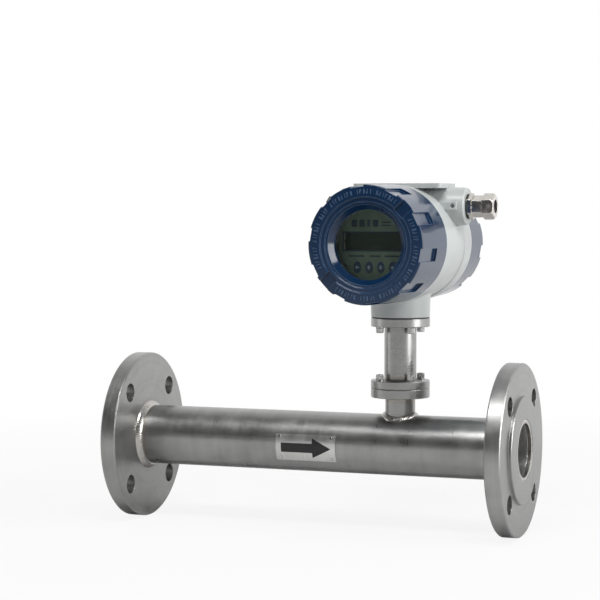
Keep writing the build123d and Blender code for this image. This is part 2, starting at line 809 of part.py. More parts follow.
# Rear cover: the same grip on a closed face
rear_spigot_end = rear_shoulder + spigot_length
rear_groove_back = rear_shoulder + spigot_groove_ahead
rear_groove_front = rear_groove_back + cover_ring_section + 2 * slip_gap
rear_first_step = rear_face + cover_step_depth
rear_second_step = rear_face + 2 * cover_step_depth
rear_web_front = rear_second_step + rear_cover_web
rear_grip = grip_cutter(rear_face, rear_shoulder)
with BuildPart() as rear_cover:
    with BuildSketch(head_section):
        with BuildLine():
            Polyline(
                (spigot_bore, rear_spigot_end),
                (spigot_radius, rear_spigot_end),
                (spigot_radius, rear_groove_front),
                (groove_radius, rear_groove_front),
                (groove_radius, rear_groove_back),
                (spigot_radius, rear_groove_back),
                (spigot_radius, rear_shoulder),
                (cover_radius, rear_shoulder),
                (cover_face_radius_outer, rear_face),
                (band_inner, rear_face),
                (step_outer, rear_first_step),
                (step_inner, rear_first_step),
                (inner_ledge_outer, rear_second_step),
                (0, rear_second_step),
                (0, rear_web_front),
                (cover_bore, rear_web_front),
                (cover_bore, rear_shoulder - cover_bore + spigot_bore),
                (spigot_bore, rear_shoulder),
                close=True,
            )
        make_face()
    revolve(axis=head_axis)
    rear_rim = rear_cover.edges().filter_by(GeomType.CIRCLE).group_by(Axis.Y)[-1].sort_by(SortBy.RADIUS)[-1]
    fillet(rear_rim, radius=cover_face_radius)
    add(rear_grip, mode=Mode.SUBTRACT)
finish(rear_cover, "rear_cover")


# O-rings on the cover spigots
def cover_ring(middle):
    """A rubber ring in a spigot groove whose middle lies this far ahead of the neck."""
    with BuildPart() as ring:
        with BuildSketch(head_section):
            with Locations((cover_ring_radius, middle)):
                Circle(cover_ring_section / 2)
        revolve(axis=head_axis)
    return ring


finish(cover_ring((groove_front + groove_back) / 2), "front_cover_o_ring")
finish(cover_ring((rear_groove_front + rear_groove_back) / 2), "rear_cover_o_ring")


# Discs and rings that lie across the head's axis
def head_disc(front, thickness, radius, bore=0.0):
    """A flat disc or ring with its front face this far ahead of the neck."""
    with BuildPart() as disc:
        with BuildSketch(head_plane(front)):
            Circle(radius)
            if bore > 0:
                Circle(bore, mode=Mode.SUBTRACT)
        extrude(amount=-thickness)
    return disc


finish(head_disc(glass_front, glass_thickness, glass_radius), "window_glass")
finish(head_disc(glass_shoulder, window_gasket_thickness, glass_radius, aperture_radius), "window_gasket")

with BuildPart() as window_ring:
    with BuildSketch(head_plane(glass_back)):
        Circle(window_ring_radius)
        Circle(window_ring_bore, mode=Mode.SUBTRACT)
    extrude(amount=-window_ring_thickness)
    with BuildSketch(head_plane(window_ring_back)):
        Rectangle(3 * window_ring_radius, window_ring_notch)
    extrude(amount=window_ring_thickness / 2, mode=Mode.SUBTRACT)
finish(window_ring, "window_ring")

# Display faceplate with openings for the digits, the keys and its screws
key_places = [((index - (key_count - 1) / 2) * key_pitch, -key_drop) for index in range(key_count)]
with BuildPart() as faceplate:
    with BuildSketch(head_plane(faceplate_front)):
        Circle(faceplate_radius)
        with Locations((0, lcd_rise)):
            Rectangle(lcd_window_width, lcd_window_height, mode=Mode.SUBTRACT)
        with Locations(*key_places):
            Ellipse(key_width / 2 + key_gap, key_height / 2 + key_gap, mode=Mode.SUBTRACT)
        with GridLocations(display_screw_across, display_screw_up, 2, 2):
            Circle(display_screw_diameter / 2 + slip_gap, mode=Mode.SUBTRACT)
    extrude(amount=-faceplate_thickness)
finish(faceplate, "faceplate")

# Display module: a folded frame round the glass cell
lcd_frame_front = display_board_front + lcd_frame_depth
with BuildPart() as lcd_frame:
    with BuildSketch(head_plane(display_board_front)):
        with Locations((0, lcd_rise)):
            Rectangle(lcd_window_width + 2 * lcd_frame_margin_x, lcd_window_height + 2 * lcd_frame_margin_y)
    extrude(amount=lcd_frame_depth)
    with BuildSketch(head_plane(display_board_front)):
        with Locations((0, lcd_rise)):
            Rectangle(
                lcd_window_width + 2 * lcd_frame_margin_x - 2 * lcd_frame_wall,
                lcd_window_height + 2 * lcd_frame_margin_y - 2 * lcd_frame_wall,
            )
    extrude(amount=lcd_frame_depth - lcd_frame_wall, mode=Mode.SUBTRACT)
    with BuildSketch(head_plane(lcd_frame_front)):
        with Locations((0, lcd_rise)):
            Rectangle(lcd_window_width, lcd_window_height)
    extrude(amount=-lcd_frame_wall, mode=Mode.SUBTRACT)
finish(lcd_frame, "lcd_frame")

with BuildPart() as lcd_panel:
    with BuildSketch(head_plane(lcd_frame_front - lcd_frame_wall)):
        with Locations((0, lcd_rise)):
            Rectangle(lcd_window_width + 2 * lcd_panel_margin, lcd_window_height + 2 * lcd_panel_margin)
    extrude(amount=-lcd_panel_thickness)
finish(lcd_panel, "lcd_panel")

# Keys: oval caps with a lip behind the faceplate and a stem over each switch
switch_top = display_board_front + switch_height + switch_plunger_height
key_stem_end = switch_top + key_travel + slip_gap
key_lip_front = faceplate_back - key_gap
for number, place in enumerate(key_places, start=1):
    with BuildPart() as key:
        with BuildSketch(head_plane(key_lip_front)):
            with Locations(place):
                Ellipse(key_width / 2, key_height / 2)
        extrude(amount=faceplate_front + key_proud - key_lip_front)
        fillet(key.edges().group_by(Axis.Y)[0], radius=key_proud / 2)
        with BuildSketch(head_plane(key_lip_front)):
            with Locations(place):
                Ellipse(key_width / 2 + key_lip, key_height / 2 + key_lip)
        extrude(amount=-key_lip_thickness)
        with BuildSketch(head_plane(key_stem_end)):
            with Locations(place):
                Circle(key_stem_radius)
        extrude(amount=key_lip_front - key_stem_end)
    finish(key, f"key_{number}")

# Both circuit boards, and the four key switches on the display board
def circuit_board(front, radius):
    """A round circuit board with four screw holes, its front face this far ahead of the neck."""
    with BuildPart() as board:
        with BuildSketch(head_plane(front)):
            Circle(radius)
            with GridLocations(display_screw_across, display_screw_up, 2, 2):
                Circle(display_screw_diameter / 2 + slip_gap, mode=Mode.SUBTRACT)
        extrude(amount=-board_thickness)
    return board


finish(circuit_board(display_board_front, display_board_radius), "display_board")
finish(circuit_board(main_board_ahead, main_board_radius), "main_board")

with BuildPart() as key_switches:
    with BuildSketch(head_plane(display_board_front)):
        with Locations(*key_places):
            Rectangle(switch_size, switch_size)
    extrude(amount=switch_height)
    with BuildSketch(head_plane(display_board_front + switch_height)):
        with Locations(*key_places):
            Circle(switch_plunger_radius)
    extrude(amount=switch_plunger_height)
finish(key_switches, "key_switches")


# Hexagonal standoffs and spacers that carry both boards from the partition
def standoffs(back, front, bore_depth, stud_length=0.0):
    """Four hexagonal pillars between two depths, each bored from both ends or given a front stud."""
    with BuildPart() as pillars:
        with BuildSketch(head_plane(back)):
            with GridLocations(display_screw_across, display_screw_up, 2, 2):
                RegularPolygon(standoff_flats / 2, 6, major_radius=False)
        extrude(amount=front - back)
        if stud_length > 0:
            with BuildSketch(head_plane(front)):
                with GridLocations(display_screw_across, display_screw_up, 2, 2):
                    Circle(display_screw_diameter / 2)
            extrude(amount=stud_length)
        else:
            for end, depth in ((front, -bore_depth), (back, bore_depth)):
                with BuildSketch(head_plane(end)):
                    with GridLocations(display_screw_across, display_screw_up, 2, 2):
                        Circle(display_screw_diameter / 2 + screw_gap)
                extrude(amount=depth, mode=Mode.SUBTRACT)
    return pillars


screw_below_board = display_screw_length - faceplate_thickness - spacer_length - board_thickness
standoff_bore = max(screw_below_board, standoff_stud) + tapped_depth_below_tip
finish(standoffs(display_board_front, faceplate_back, spacer_length), "faceplate_spacers")
finish(standoffs(main_board_ahead, display_board_back, standoff_bore), "upper_standoffs")
finish(standoffs(partition_front, main_board_back, 0, board_thickness + standoff_stud), "lower_standoffs")

with BuildPart() as display_screws:
    with BuildSketch(head_plane(faceplate_front)):
        with GridLocations(display_screw_across, display_screw_up, 2, 2):
            Circle(display_screw_head / 2)
    extrude(amount=display_screw_head_height)
    fillet(display_screws.edges().group_by(Axis.Y)[0], radius=display_screw_head_height / 2)
    with BuildSketch(head_plane(faceplate_front + display_screw_head_height)):
        with GridLocations(display_screw_across, display_screw_up, 2, 2):
            Rectangle(display_screw_head, display_screw_slot)
    extrude(amount=-display_screw_head_height / 2, mode=Mode.SUBTRACT)
    with BuildSketch(head_plane(faceplate_front)):
        with GridLocations(display_screw_across, display_screw_up, 2, 2):
            Circle(display_screw_diameter / 2)
    extrude(amount=-display_screw_length)
finish(display_screws, "display_screws")

# Terminal block on the partition, with its clamp screws and fixing screws
terminal_pitch = (terminal_width - 4 * block_screw_inset) / terminal_count
terminal_columns = [(index - (terminal_count - 1) / 2) * terminal_pitch for index in range(terminal_count)]
terminal_front = partition_rear
terminal_rear = terminal_front - terminal_depth
with BuildPart() as terminal_block:
    with BuildSketch(head_plane(terminal_front)):
        with Locations((0, -terminal_drop)):
            Rectangle(terminal_width, terminal_height)
    extrude(amount=-terminal_depth)
    with BuildSketch(head_plane(terminal_rear)):
        with Locations((0, -terminal_drop - terminal_height / 2)):
            Rectangle(terminal_width, terminal_height - terminal_step, align=(Align.CENTER, Align.MIN))
    extrude(amount=terminal_step, mode=Mode.SUBTRACT)
    with BuildSketch(head_plane(terminal_front)):
        with Locations(*block_screw_places):
            Circle(block_screw_shank + screw_gap)
    extrude(amount=-terminal_depth, mode=Mode.SUBTRACT)
finish(terminal_block, "terminal_block")



def slotted_screws(seat, places, radius, height, shank=0.0, bite=0.0):
    """Slotted screws in the rear compartment, heads standing on a face this far ahead of the neck."""
    with BuildPart() as screws:
        with BuildSketch(head_plane(seat)):
            with Locations(*places):
                Circle(radius)
        extrude(amount=-height)
        with BuildSketch(head_plane(seat - height)):
            with Locations(*places):
                Rectangle(2 * radius, display_screw_slot)
        extrude(amount=height / 2, mode=Mode.SUBTRACT)
        if bite > 0:
            with BuildSketch(head_plane(seat)):
                with Locations(*places):
                    Circle(shank)
            extrude(amount=bite)
    return screws


terminal_seat = terminal_rear + terminal_step
terminal_places = [(column, -block_screw_drop) for column in terminal_columns]
terminal_bite = terminal_front - terminal_seat + block_screw_bite
terminal_head = (terminal_screw_radius, terminal_screw_height)
block_head = (block_screw_radius, terminal_screw_height, block_screw_shank, terminal_bite)
earth_head = (earth_screw_radius, earth_screw_height)
finish(slotted_screws(terminal_seat, terminal_places, *terminal_head), "terminal_screws")
finish(slotted_screws(terminal_seat, block_screw_places, *block_head), "block_screws")
finish(slotted_screws(partition_rear, [(0, -earth_screw_drop)], *earth_head), "earth_screw")


# Sealing washers of the gland and the plug
def conduit_washer(side):
    """A rubber washer on the face of one conduit boss."""
    with BuildPart() as washer:
        with BuildSketch(conduit_plane(side, conduit_reach)):
            Circle(gland_seal_radius)
            Circle(conduit_thread_radius, mode=Mode.SUBTRACT)
        extrude(amount=gland_seal_thickness)
    return washer


finish(conduit_washer(1), "gland_washer")
finish(conduit_washer(-1), "plug_washer")

# Cable gland: a threaded body, a rubber insert and a dome nut
gland_shank_radius = conduit_thread_radius - screw_gap
gland_body_start = conduit_face + gland_base_length
gland_neck_start = gland_body_start + gland_body_length
gland_nut_start = gland_neck_start + gland_nut_gap
gland_end = gland_nut_start + gland_nut_length
gland_nut_shoulder = gland_end - gland_end_wall
gland_neck_end = gland_nut_shoulder - gland_tighten_gap
gland_insert_foot = gland_nut_shoulder - gland_insert_length
gland_insert_pocket = gland_neck_end - gland_insert_foot
with BuildPart() as gland_body:
    with BuildSketch(conduit_plane(1, conduit_face)):
        RegularPolygon(gland_base_flats / 2, 6, major_radius=False, rotation=30)
    extrude(amount=gland_base_length)
    with BuildSketch(conduit_plane(1, gland_body_start)):
        RegularPolygon(gland_body_flats / 2, 6, major_radius=False, rotation=30)
    extrude(amount=gland_body_length)
    with BuildSketch(conduit_plane(1, gland_neck_start)):
        Circle(gland_neck_radius)
    extrude(amount=gland_neck_end - gland_neck_start)
    with BuildSketch(conduit_plane(1, conduit_face)):
        Circle(gland_shank_radius)
    extrude(amount=-gland_seal_thickness - gland_shank_length)
    with Locations(conduit_plane(1, gland_neck_end)):
        CounterBoreHole(gland_bore_radius, gland_insert_radius + slip_gap, gland_insert_pocket)
finish(gland_body, "gland_body")

with BuildPart() as gland_insert:
    with BuildSketch(conduit_plane(1, gland_insert_foot)):
        Circle(gland_insert_radius)
        Circle(gland_insert_bore, mode=Mode.SUBTRACT)
    extrude(amount=gland_insert_length)
finish(gland_insert, "gland_insert")

# The nut is a hexagon bar turned to a bevel at its back and to a dome at its front
gland_nut_corner = gland_nut_flats / sqrt(3)
gland_dome_top = gland_nut_corner - gland_dome_length
with BuildPart() as gland_nut:
    with BuildSketch(conduit_plane(1, gland_nut_start)):
        RegularPolygon(gland_nut_flats / 2, 6, major_radius=False, rotation=30)
    extrude(amount=gland_nut_length)
    with BuildSketch(conduit_section):
        with BuildLine():
            Polyline(
                (gland_end, gland_dome_top),
                (gland_end, 0),
                (gland_nut_start, 0),
                (gland_nut_start, gland_nut_corner - gland_nut_bevel),
                (gland_nut_start + gland_nut_bevel, gland_nut_corner),
                (gland_end - gland_dome_length, gland_nut_corner),
            )
            dome_foot = (gland_end - gland_dome_length, gland_nut_corner)
            RadiusArc(dome_foot, (gland_end, gland_dome_top), gland_dome_length)
        make_face()
    revolve(axis=conduit_axis, mode=Mode.INTERSECT)
    with BuildSketch(conduit_plane(1, gland_nut_start)):
        Circle(gland_neck_radius + slip_gap)
    extrude(amount=gland_nut_shoulder - gland_nut_start, mode=Mode.SUBTRACT)
    with Locations(conduit_plane(1, gland_end)):
        Hole(gland_bore_radius)
finish(gland_nut, "gland_nut")

# Blanking plug in the other conduit entry
plug_head_start = conduit_face + plug_flange_thickness
with BuildPart() as blanking_plug:
    with BuildSketch(conduit_plane(-1, conduit_face)):
        Circle(plug_flange_radius)
    extrude(amount=plug_flange_thickness)
    with BuildSketch(conduit_plane(-1, plug_head_start)):
        RegularPolygon(plug_head_flats / 2, 6, major_radius=False, rotation=30)
    extrude(amount=plug_head_length)
    with BuildSketch(conduit_plane(-1, conduit_face)):
        Circle(gland_shank_radius)
    extrude(amount=-gland_seal_thickness - gland_shank_length)
finish(blanking_plug, "blanking_plug")

# Flow arrow plate, curved to the tube, and its rivets
plate_seat_radius = tube_radius + plate_seat_gap
with BuildPart() as arrow_plate:
    with BuildSketch(Plane.YZ.offset(plate_start)):
        with BuildLine():
            outer_arc = CenterArc((0, 0), plate_radius, 180 - plate_top_angle, plate_arc)
            inner_arc = CenterArc((0, 0), plate_seat_radius, 180 - plate_top_angle, plate_arc)
            Line(outer_arc @ 0, inner_arc @ 0)
            Line(outer_arc @ 1, inner_arc @ 1)
        make_face()
    extrude(amount=plate_length)
    for along, angle in rivet_seats:
        with BuildSketch(rivet_plane(along, angle, plate_radius)):
            Circle(rivet_radius)
        extrude(amount=-rivet_depth, mode=Mode.SUBTRACT)
finish(arrow_plate, "arrow_plate")

with BuildPart() as arrow_rivets:
    for along, angle in rivet_seats:
        seat = rivet_plane(along, angle, plate_radius)
        with BuildSketch(seat):
            Circle(rivet_head_radius)
        extrude(amount=rivet_head_height)
        head_edges = arrow_rivets.edges(Select.LAST).filter_by(GeomType.CIRCLE)
        fillet(head_edges.sort_by(Axis(seat.origin, seat.z_dir))[-1], radius=rivet_head_height / 2)
        with BuildSketch(seat):
            Circle(rivet_radius - screw_gap)
        extrude(amount=-rivet_depth)
finish(arrow_rivets, "arrow_rivets")
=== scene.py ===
"""The looks of an inline thermal mass flow meter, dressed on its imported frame.

The X axis is the pipe's axis and points the way the gas flows, Z is up along the neck, and the display
looks along -Y. Sizes in the classes are metres, as everywhere in the frame; MM turns millimetres into them.
"""

import logging
from dataclasses import dataclass
from enum import Enum
from math import cos, hypot, pi, radians, sin, sqrt, tau
from typing import Any, Callable, Sequence

import bmesh
import bpy
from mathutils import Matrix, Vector


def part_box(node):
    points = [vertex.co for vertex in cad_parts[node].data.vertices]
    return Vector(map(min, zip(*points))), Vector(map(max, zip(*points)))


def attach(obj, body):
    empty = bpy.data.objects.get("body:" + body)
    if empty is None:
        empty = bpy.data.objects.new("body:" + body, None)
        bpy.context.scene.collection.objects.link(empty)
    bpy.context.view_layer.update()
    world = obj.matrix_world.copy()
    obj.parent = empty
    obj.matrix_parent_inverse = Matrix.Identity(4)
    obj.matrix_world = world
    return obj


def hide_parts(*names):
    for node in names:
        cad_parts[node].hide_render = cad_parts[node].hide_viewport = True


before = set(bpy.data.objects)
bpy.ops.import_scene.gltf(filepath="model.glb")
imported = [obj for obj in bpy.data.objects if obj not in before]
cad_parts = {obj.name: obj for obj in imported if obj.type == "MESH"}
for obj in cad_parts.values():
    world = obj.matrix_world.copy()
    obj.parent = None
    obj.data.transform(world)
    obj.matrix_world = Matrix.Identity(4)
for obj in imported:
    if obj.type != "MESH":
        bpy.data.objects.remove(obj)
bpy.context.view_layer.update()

log = logging.getLogger("flow_meter")

MM = 0.001
Colour = tuple[float, float, float]
Point = tuple[float, float, float]
Toe = tuple[float, float]
Socket = Any
Material = bpy.types.Material

WHITE = (1.0, 1.0, 1.0, 1.0)
SMOOTH_BELOW = 32.0


def low(node: str) -> Vector:
    """Return the lowest corner of a CAD node."""
    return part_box(node)[0]


def high(node: str) -> Vector:
    """Return the highest corner of a CAD node."""
    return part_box(node)[1]


def middle(node: str) -> Vector:
    """Return the centre of a CAD node's box."""
    return (low(node) + high(node)) / 2


class Axle(Enum):
    """The axes about which the meter's round pieces are turned, as a direction and a point on the axis."""

    PIPE = ("X", (0.0, 0.0, 0.0))
    NECK = ("Z", tuple(middle("neck_tube")))
    HEAD = ("Y", tuple(middle("front_cover_o_ring")))

    @property
    def letter(self) -> str:
        """Name the frame's axis that this axle runs along."""
        return self.value[0]

    @property
    def index(self) -> int:
        """Return the number of that axis in a vector."""
        return "XYZ".index(self.letter)

    @property
    def centre(self) -> Vector:
        """Return a point on the axle."""
        return Vector(self.value[1])

    @property
    def direction(self) -> Vector:
        """Return the axle's own direction."""
        return {"X": Vector((1, 0, 0)), "Y": Vector((0, -1, 0)), "Z": Vector((0, 0, 1))}[self.letter]

    @property
    def across(self) -> tuple[Vector, Vector]:
        """Return the two cross directions from which angles are counted, zero along the first."""
        return {
            "X": (Vector((0, -1, 0)), Vector((0, 0, 1))),
            "Y": (Vector((1, 0, 0)), Vector((0, 0, 1))),
            "Z": (Vector((1, 0, 0)), Vector((0, 1, 0))),
        }[self.letter]

    def place(self, radius: float, angle: float, along: float) -> Vector:
        """Return the frame point at a radius and an angle about the axle.

        Args:
            radius: Distance from the axle, in metres.
            angle: Angle from the first cross direction towards the second, in radians.
            along: The frame's own coordinate along the axle's letter, in metres, signed as its direction.

        Returns:
            The point in the frame.
        """
        first, second = self.across
        centre = self.centre
        start = centre - self.direction * centre.dot(self.direction)
        return start + self.direction * along + (first * cos(angle) + second * sin(angle)) * radius


class Graph:
    """A node tree, with short calls that add a node and join its inputs."""

    def __init__(self, owner: bpy.types.ID) -> None:
        """Start an empty tree in a new material or world."""
        self.owner = owner
        owner.use_nodes = True
        self.tree = owner.node_tree
        self.tree.nodes.clear()

    def node(self, kind: str, inputs: dict[Any, Any] | None = None, **settings: Any) -> Any:
        """Add one node.

        Args:
            kind: The node's type without its ShaderNode prefix.
            inputs: Values or sockets by the input's name or number.
            settings: Properties to set on the node itself.

        Returns:
            The new node.
        """
        made = self.tree.nodes.new("ShaderNode" + kind)
        for key, value in settings.items():
            setattr(made, key, value)
        for key, value in (inputs or {}).items():
            if isinstance(value, bpy.types.NodeSocket):
                self.tree.links.new(value, made.inputs[key])
            else:
                made.inputs[key].default_value = value
        return made

    def math(self, operation: str, first: Any, second: Any = 0.0) -> Socket:
        """Return the result of one Math node on two values or sockets."""
        return self.node("Math", {0: first, 1: second}, operation=operation).outputs[0]

    def total(self, *values: Any) -> Socket:
        """Return the sum of values or sockets."""
        whole = values[0]
        for value in values[1:]:
            whole = self.math("ADD", whole, value)
        return whole

    def vector_math(self, operation: str, first: Any, second: Any) -> Any:
        """Return a Vector Math node on two vectors."""
        return self.node("VectorMath", {0: first, 1: second}, operation=operation)

    def ray(self, kind: str) -> Socket:
        """Return 1 for rays of one kind and 0 for all others."""
        return self.node("LightPath").outputs[f"Is {kind} Ray"]

    def mirrored(self) -> Socket:
        """Return 1 for what metal and glass show and 0 for all else."""
        return self.math("MAXIMUM", self.ray("Glossy"), self.ray("Transmission"))

    def position(self) -> Socket:
        """Return the surface point in the frame at rest, in metres."""
        return self.node("TexCoord").outputs["Object"]

    def scaled(self, vector: Socket, scale: Point) -> Socket:
        """Return a vector with each component scaled."""
        return self.vector_math("MULTIPLY", vector, scale).outputs[0]

    def noise(self, vector: Socket, scale: float, detail: float = 2.0, rough: float = 0.5) -> Socket:
        """Return a noise value from 0 to 1.

        Args:
            vector: Where the noise is read.
            scale: Cells for each unit of the vector.
            detail: Octaves above the first.
            rough: How strong each further octave is.

        Returns:
            The noise's value socket.
        """
        inputs = {"Vector": vector, "Scale": scale, "Detail": detail, "Roughness": rough}
        return self.node("TexNoise", inputs).outputs[0]

    def spread(self, value: Socket, low_in: float, high_in: float, low_out: float, high_out: float,
               kind: str = "LINEAR") -> Socket:
        """Return a value carried from one range to another and held inside it."""
        limits = {"From Min": low_in, "From Max": high_in, "To Min": low_out, "To Max": high_out}
        return self.node("MapRange", {"Value": value, **limits}, interpolation_type=kind).outputs[0]

    def swing(self, noise: Socket, least: float, most: float) -> Socket:
        """Return a noise carried to a range that the middle of its values fills."""
        return self.spread(noise, 0.3, 0.7, least, most)

    def tinted(self, colour: Colour, tone: Socket) -> Socket:
        """Return a colour made lighter or darker by a tone."""
        return self.node("VectorMath", {0: colour, "Scale": tone}, operation="SCALE").outputs[0]

    def blend(self, share: Socket, first: Any, second: Colour) -> Socket:
        """Return a mix of a colour or a colour socket with a second colour."""
        start = first if isinstance(first, bpy.types.NodeSocket) else (*first, 1.0)
        return self.node("Mix", {0: share, 6: start, 7: (*second, 1.0)}, data_type="RGBA").outputs[2]

    def rounded(self, radius: float) -> Socket:
        """Return a normal that rounds the sharp edges by a small radius, as a broken edge is."""
        return self.node("Bevel", {"Radius": radius}, samples=4).outputs[0]

    def worn_edges(self, radius: float) -> Socket:
        """Return a mask that is 1 on sharp outer edges and falls to 0 within a radius of them, where paint
        lies thin and a highlight is painted.
        """
        true_normal = self.node("NewGeometry").outputs["Normal"]
        cosine = self.vector_math("DOT_PRODUCT", self.rounded(radius), true_normal).outputs["Value"]
        return self.spread(cosine, 0.995, 0.86, 0.0, 1.0)

    def bump(self, height: Socket, depth: float, normal: Socket | None = None) -> Socket:
        """Return a normal shaped by a height from 0 to 1 that stands for a depth in metres."""
        inputs = {"Height": height, "Distance": depth, "Strength": 1.0}
        if normal is not None:
            inputs["Normal"] = normal
        return self.node("Bump", inputs).outputs[0]

    def turned(self, axle: Axle) -> tuple[Socket, Socket]:
        """Return the distance along an axle and from it, for lines that a lathe leaves."""
        local = self.vector_math("SUBTRACT", self.position(), axle.value[1]).outputs[0]
        parts = self.node("SeparateXYZ", {0: local}).outputs
        squares = [self.math("POWER", parts[letter], 2.0) for letter in "XYZ" if letter != axle.letter]
        return parts[axle.letter], self.math("SQRT", self.total(*squares))

    def close(self, shader: Any, output: str = "OutputMaterial") -> Any:
        """Join the last shader to the tree's output and return the tree's owner."""
        self.node(output, {"Surface": shader.outputs[0]})
        return self.owner


@dataclass(frozen=True)
class Finish:
    """The look of a surface.

    Attributes:
        name: The material's name.
    """

    name: str

    def inputs(self, graph: Graph) -> dict[str, Any]:
        """Return the shader's inputs, as values or sockets of a graph."""
        raise NotImplementedError

    def material(self) -> Material:
        """Build the material."""
        graph = Graph(bpy.data.materials.new(self.name))
        return graph.close(graph.node("BsdfPrincipled", self.inputs(graph)))


@dataclass(frozen=True)
class TurnedSteel(Finish):
    """Stainless steel with the fine lines that a lathe or a polishing belt leaves round an axle.

    Attributes:
        axle: The axis that the lines run round.
        colour: The metal's colour.
        roughness: How dull it is.
        lines: Line pitch, in metres.
        depth: Line depth, in metres.
        edge: Radius of the broken edges, in metres.
        heat: Places along the axle where welding has tinted the surface, in metres.
        heat_reach: How far from there the tint reaches, in metres.
        straw: The tint's colour.
        bore: Radius inside which the surface is painted paler, as painted light for the light bounced round
            inside the bore, in metres, or 0 where there is no bore.
        bore_gain: How much paler the painted light makes it there.
    """

    axle: Axle
    colour: Colour = (0.36, 0.36, 0.355)
    roughness: float = 0.34
    lines: float = 0.35 * MM
    depth: float = 0.012 * MM
    edge: float = 0.5 * MM
    heat: tuple[float, ...] = ()
    heat_reach: float = 8 * MM
    straw: Colour = (0.33, 0.29, 0.22)
    bore: float = 0.0
    bore_gain: float = 1.9

    def inputs(self, graph: Graph) -> dict[str, Any]:
        """Return the shader's inputs."""
        along, radius = graph.turned(self.axle)
        place = graph.position()
        drift = graph.math("MULTIPLY", graph.noise(place, 30.0, 3.0), 0.4 * MM)
        across = graph.node("CombineXYZ", {0: along, 1: radius, 2: drift}).outputs[0]
        fine = graph.noise(across, 1.0 / self.lines, 3.0, 0.6)
        broad = graph.noise(across, 0.12 / self.lines)
        blotch = graph.noise(place, 55.0, 4.0, 0.6)
        cloud = graph.noise(place, 14.0, 3.0)
        speck = graph.noise(place, 900.0, 2.0, 0.7)
        tone = graph.spread(graph.total(blotch, cloud), 0.7, 1.3, 0.86, 1.10)
        tone = graph.math("MULTIPLY", tone, graph.swing(broad, 0.95, 1.05))
        # Painted light: inside the bore the colour is made paler to stand in for the light bounced round
        # inside it.
        if self.bore:
            pale = graph.spread(radius, self.bore, self.bore + MM, self.bore_gain, 1.0)
            tone = graph.math("MULTIPLY", tone, pale)
        shade = graph.tinted(self.colour, tone)
        centre = self.axle.centre[self.axle.index]
        for spot in self.heat:
            reach = graph.math("ABSOLUTE", graph.math("SUBTRACT", along, spot - centre))
            uneven = graph.total(reach, graph.math("MULTIPLY", blotch, 3 * MM))
            shade = graph.blend(graph.spread(uneven, 4 * MM, self.heat_reach, 0.4, 0.0), shade, self.straw)
        rough = graph.total(graph.swing(blotch, -0.05, 0.06), graph.swing(fine, -0.04, 0.04),
                            graph.spread(speck, 0.62, 0.75, 0.0, 0.10), self.roughness)
        normal = graph.bump(blotch, 0.10 * MM, graph.bump(fine, self.depth, graph.rounded(self.edge)))
        return {"Base Color": shade, "Metallic": 1.0, "Roughness": rough, "Normal": normal}


@dataclass(frozen=True)
class Paint(Finish):
    """Enamel or powder on a casting: a smooth skin with orange peel, thin at its edges, where a lighter
    colour shows the thin paint and also paints a highlight.

    Attributes:
        colour: The paint's colour.
        edge_colour: Its colour where it lies thin on an edge, lighter, so that it also paints a highlight
            there.
        roughness: How dull the pigment layer is.
        edge: Radius of the rounded edges, in metres.
        peel: Size of the orange peel, in metres.
        peel_depth: Its depth, in metres.
        coat: How strong a clear gloss over it is.
        coat_roughness: How dull that gloss is.
    """

    colour: Colour
    edge_colour: Colour
    roughness: float
    edge: float
    peel: float = 1.4 * MM
    peel_depth: float = 0.003 * MM
    coat: float = 0.0
    coat_roughness: float = 0.22

    def inputs(self, graph: Graph) -> dict[str, Any]:
        """Return the shader's inputs."""
        place = graph.position()
        peel = graph.noise(place, 1.0 / self.peel, 1.0)
        cast = graph.noise(place, 160.0, 3.0, 0.6)
        cloud = graph.noise(place, 18.0, 3.0)
        body = graph.tinted(self.colour, graph.swing(cloud, 0.93, 1.07))
        normal = graph.bump(peel, self.peel_depth, graph.rounded(self.edge))
        return {
            # Lighter on the edges: thin paint, and a painted highlight along them.
            "Base Color": graph.blend(graph.worn_edges(self.edge), body, self.edge_colour),
            "Roughness": graph.total(graph.swing(cast, -0.03, 0.03), self.roughness), "Normal": normal,
            "Coat Weight": self.coat, "Coat Roughness": self.coat_roughness, "Coat Normal": normal,
        }


@dataclass(frozen=True)
class BrightMetal(Finish):
    """Plated or polished metal, such as nickel on brass or a bright stainless screw.

    Attributes:
        colour: The metal's colour.
        roughness: How dull it is.
        edge: Radius of the broken edges, in metres.
        scratch: How deep the handling marks are, in metres.
    """

    colour: Colour
    roughness: float
    edge: float = 0.3 * MM
    scratch: float = 0.01 * MM

    def inputs(self, graph: Graph) -> dict[str, Any]:
        """Return the shader's inputs."""
        place = graph.position()
        cloud = graph.noise(place, 220.0, 3.0)
        marks = graph.noise(graph.scaled(place, (1.0, 0.15, 0.4)), 2600.0, 2.0, 0.7)
        return {
            "Base Color": graph.tinted(self.colour, graph.swing(cloud, 0.90, 1.05)), "Metallic": 1.0,
            "Roughness": graph.total(graph.swing(cloud, -0.04, 0.08), self.roughness),
            "Normal": graph.bump(marks, self.scratch, graph.rounded(self.edge)),
        }


@dataclass(frozen=True)
class WeldMetal(Finish):
    """The rippled metal of a weld, brushed bright after welding.

    Attributes:
        colour: The bead's colour.
        tint: The straw colour in patches over it.
    """

    colour: Colour = (0.56, 0.55, 0.53)
    tint: Colour = (0.42, 0.36, 0.27)

    def inputs(self, graph: Graph) -> dict[str, Any]:
        """Return the shader's inputs."""
        place = graph.position()
        grain = graph.noise(place, 1400.0, 3.0, 0.7)
        cloud = graph.noise(place, 260.0)
        return {
            "Base Color": graph.blend(graph.spread(cloud, 0.45, 0.75, 0.0, 0.55), self.colour, self.tint),
            "Metallic": 1.0, "Roughness": graph.swing(grain, 0.18, 0.36),
            "Normal": graph.bump(grain, 0.03 * MM),
        }


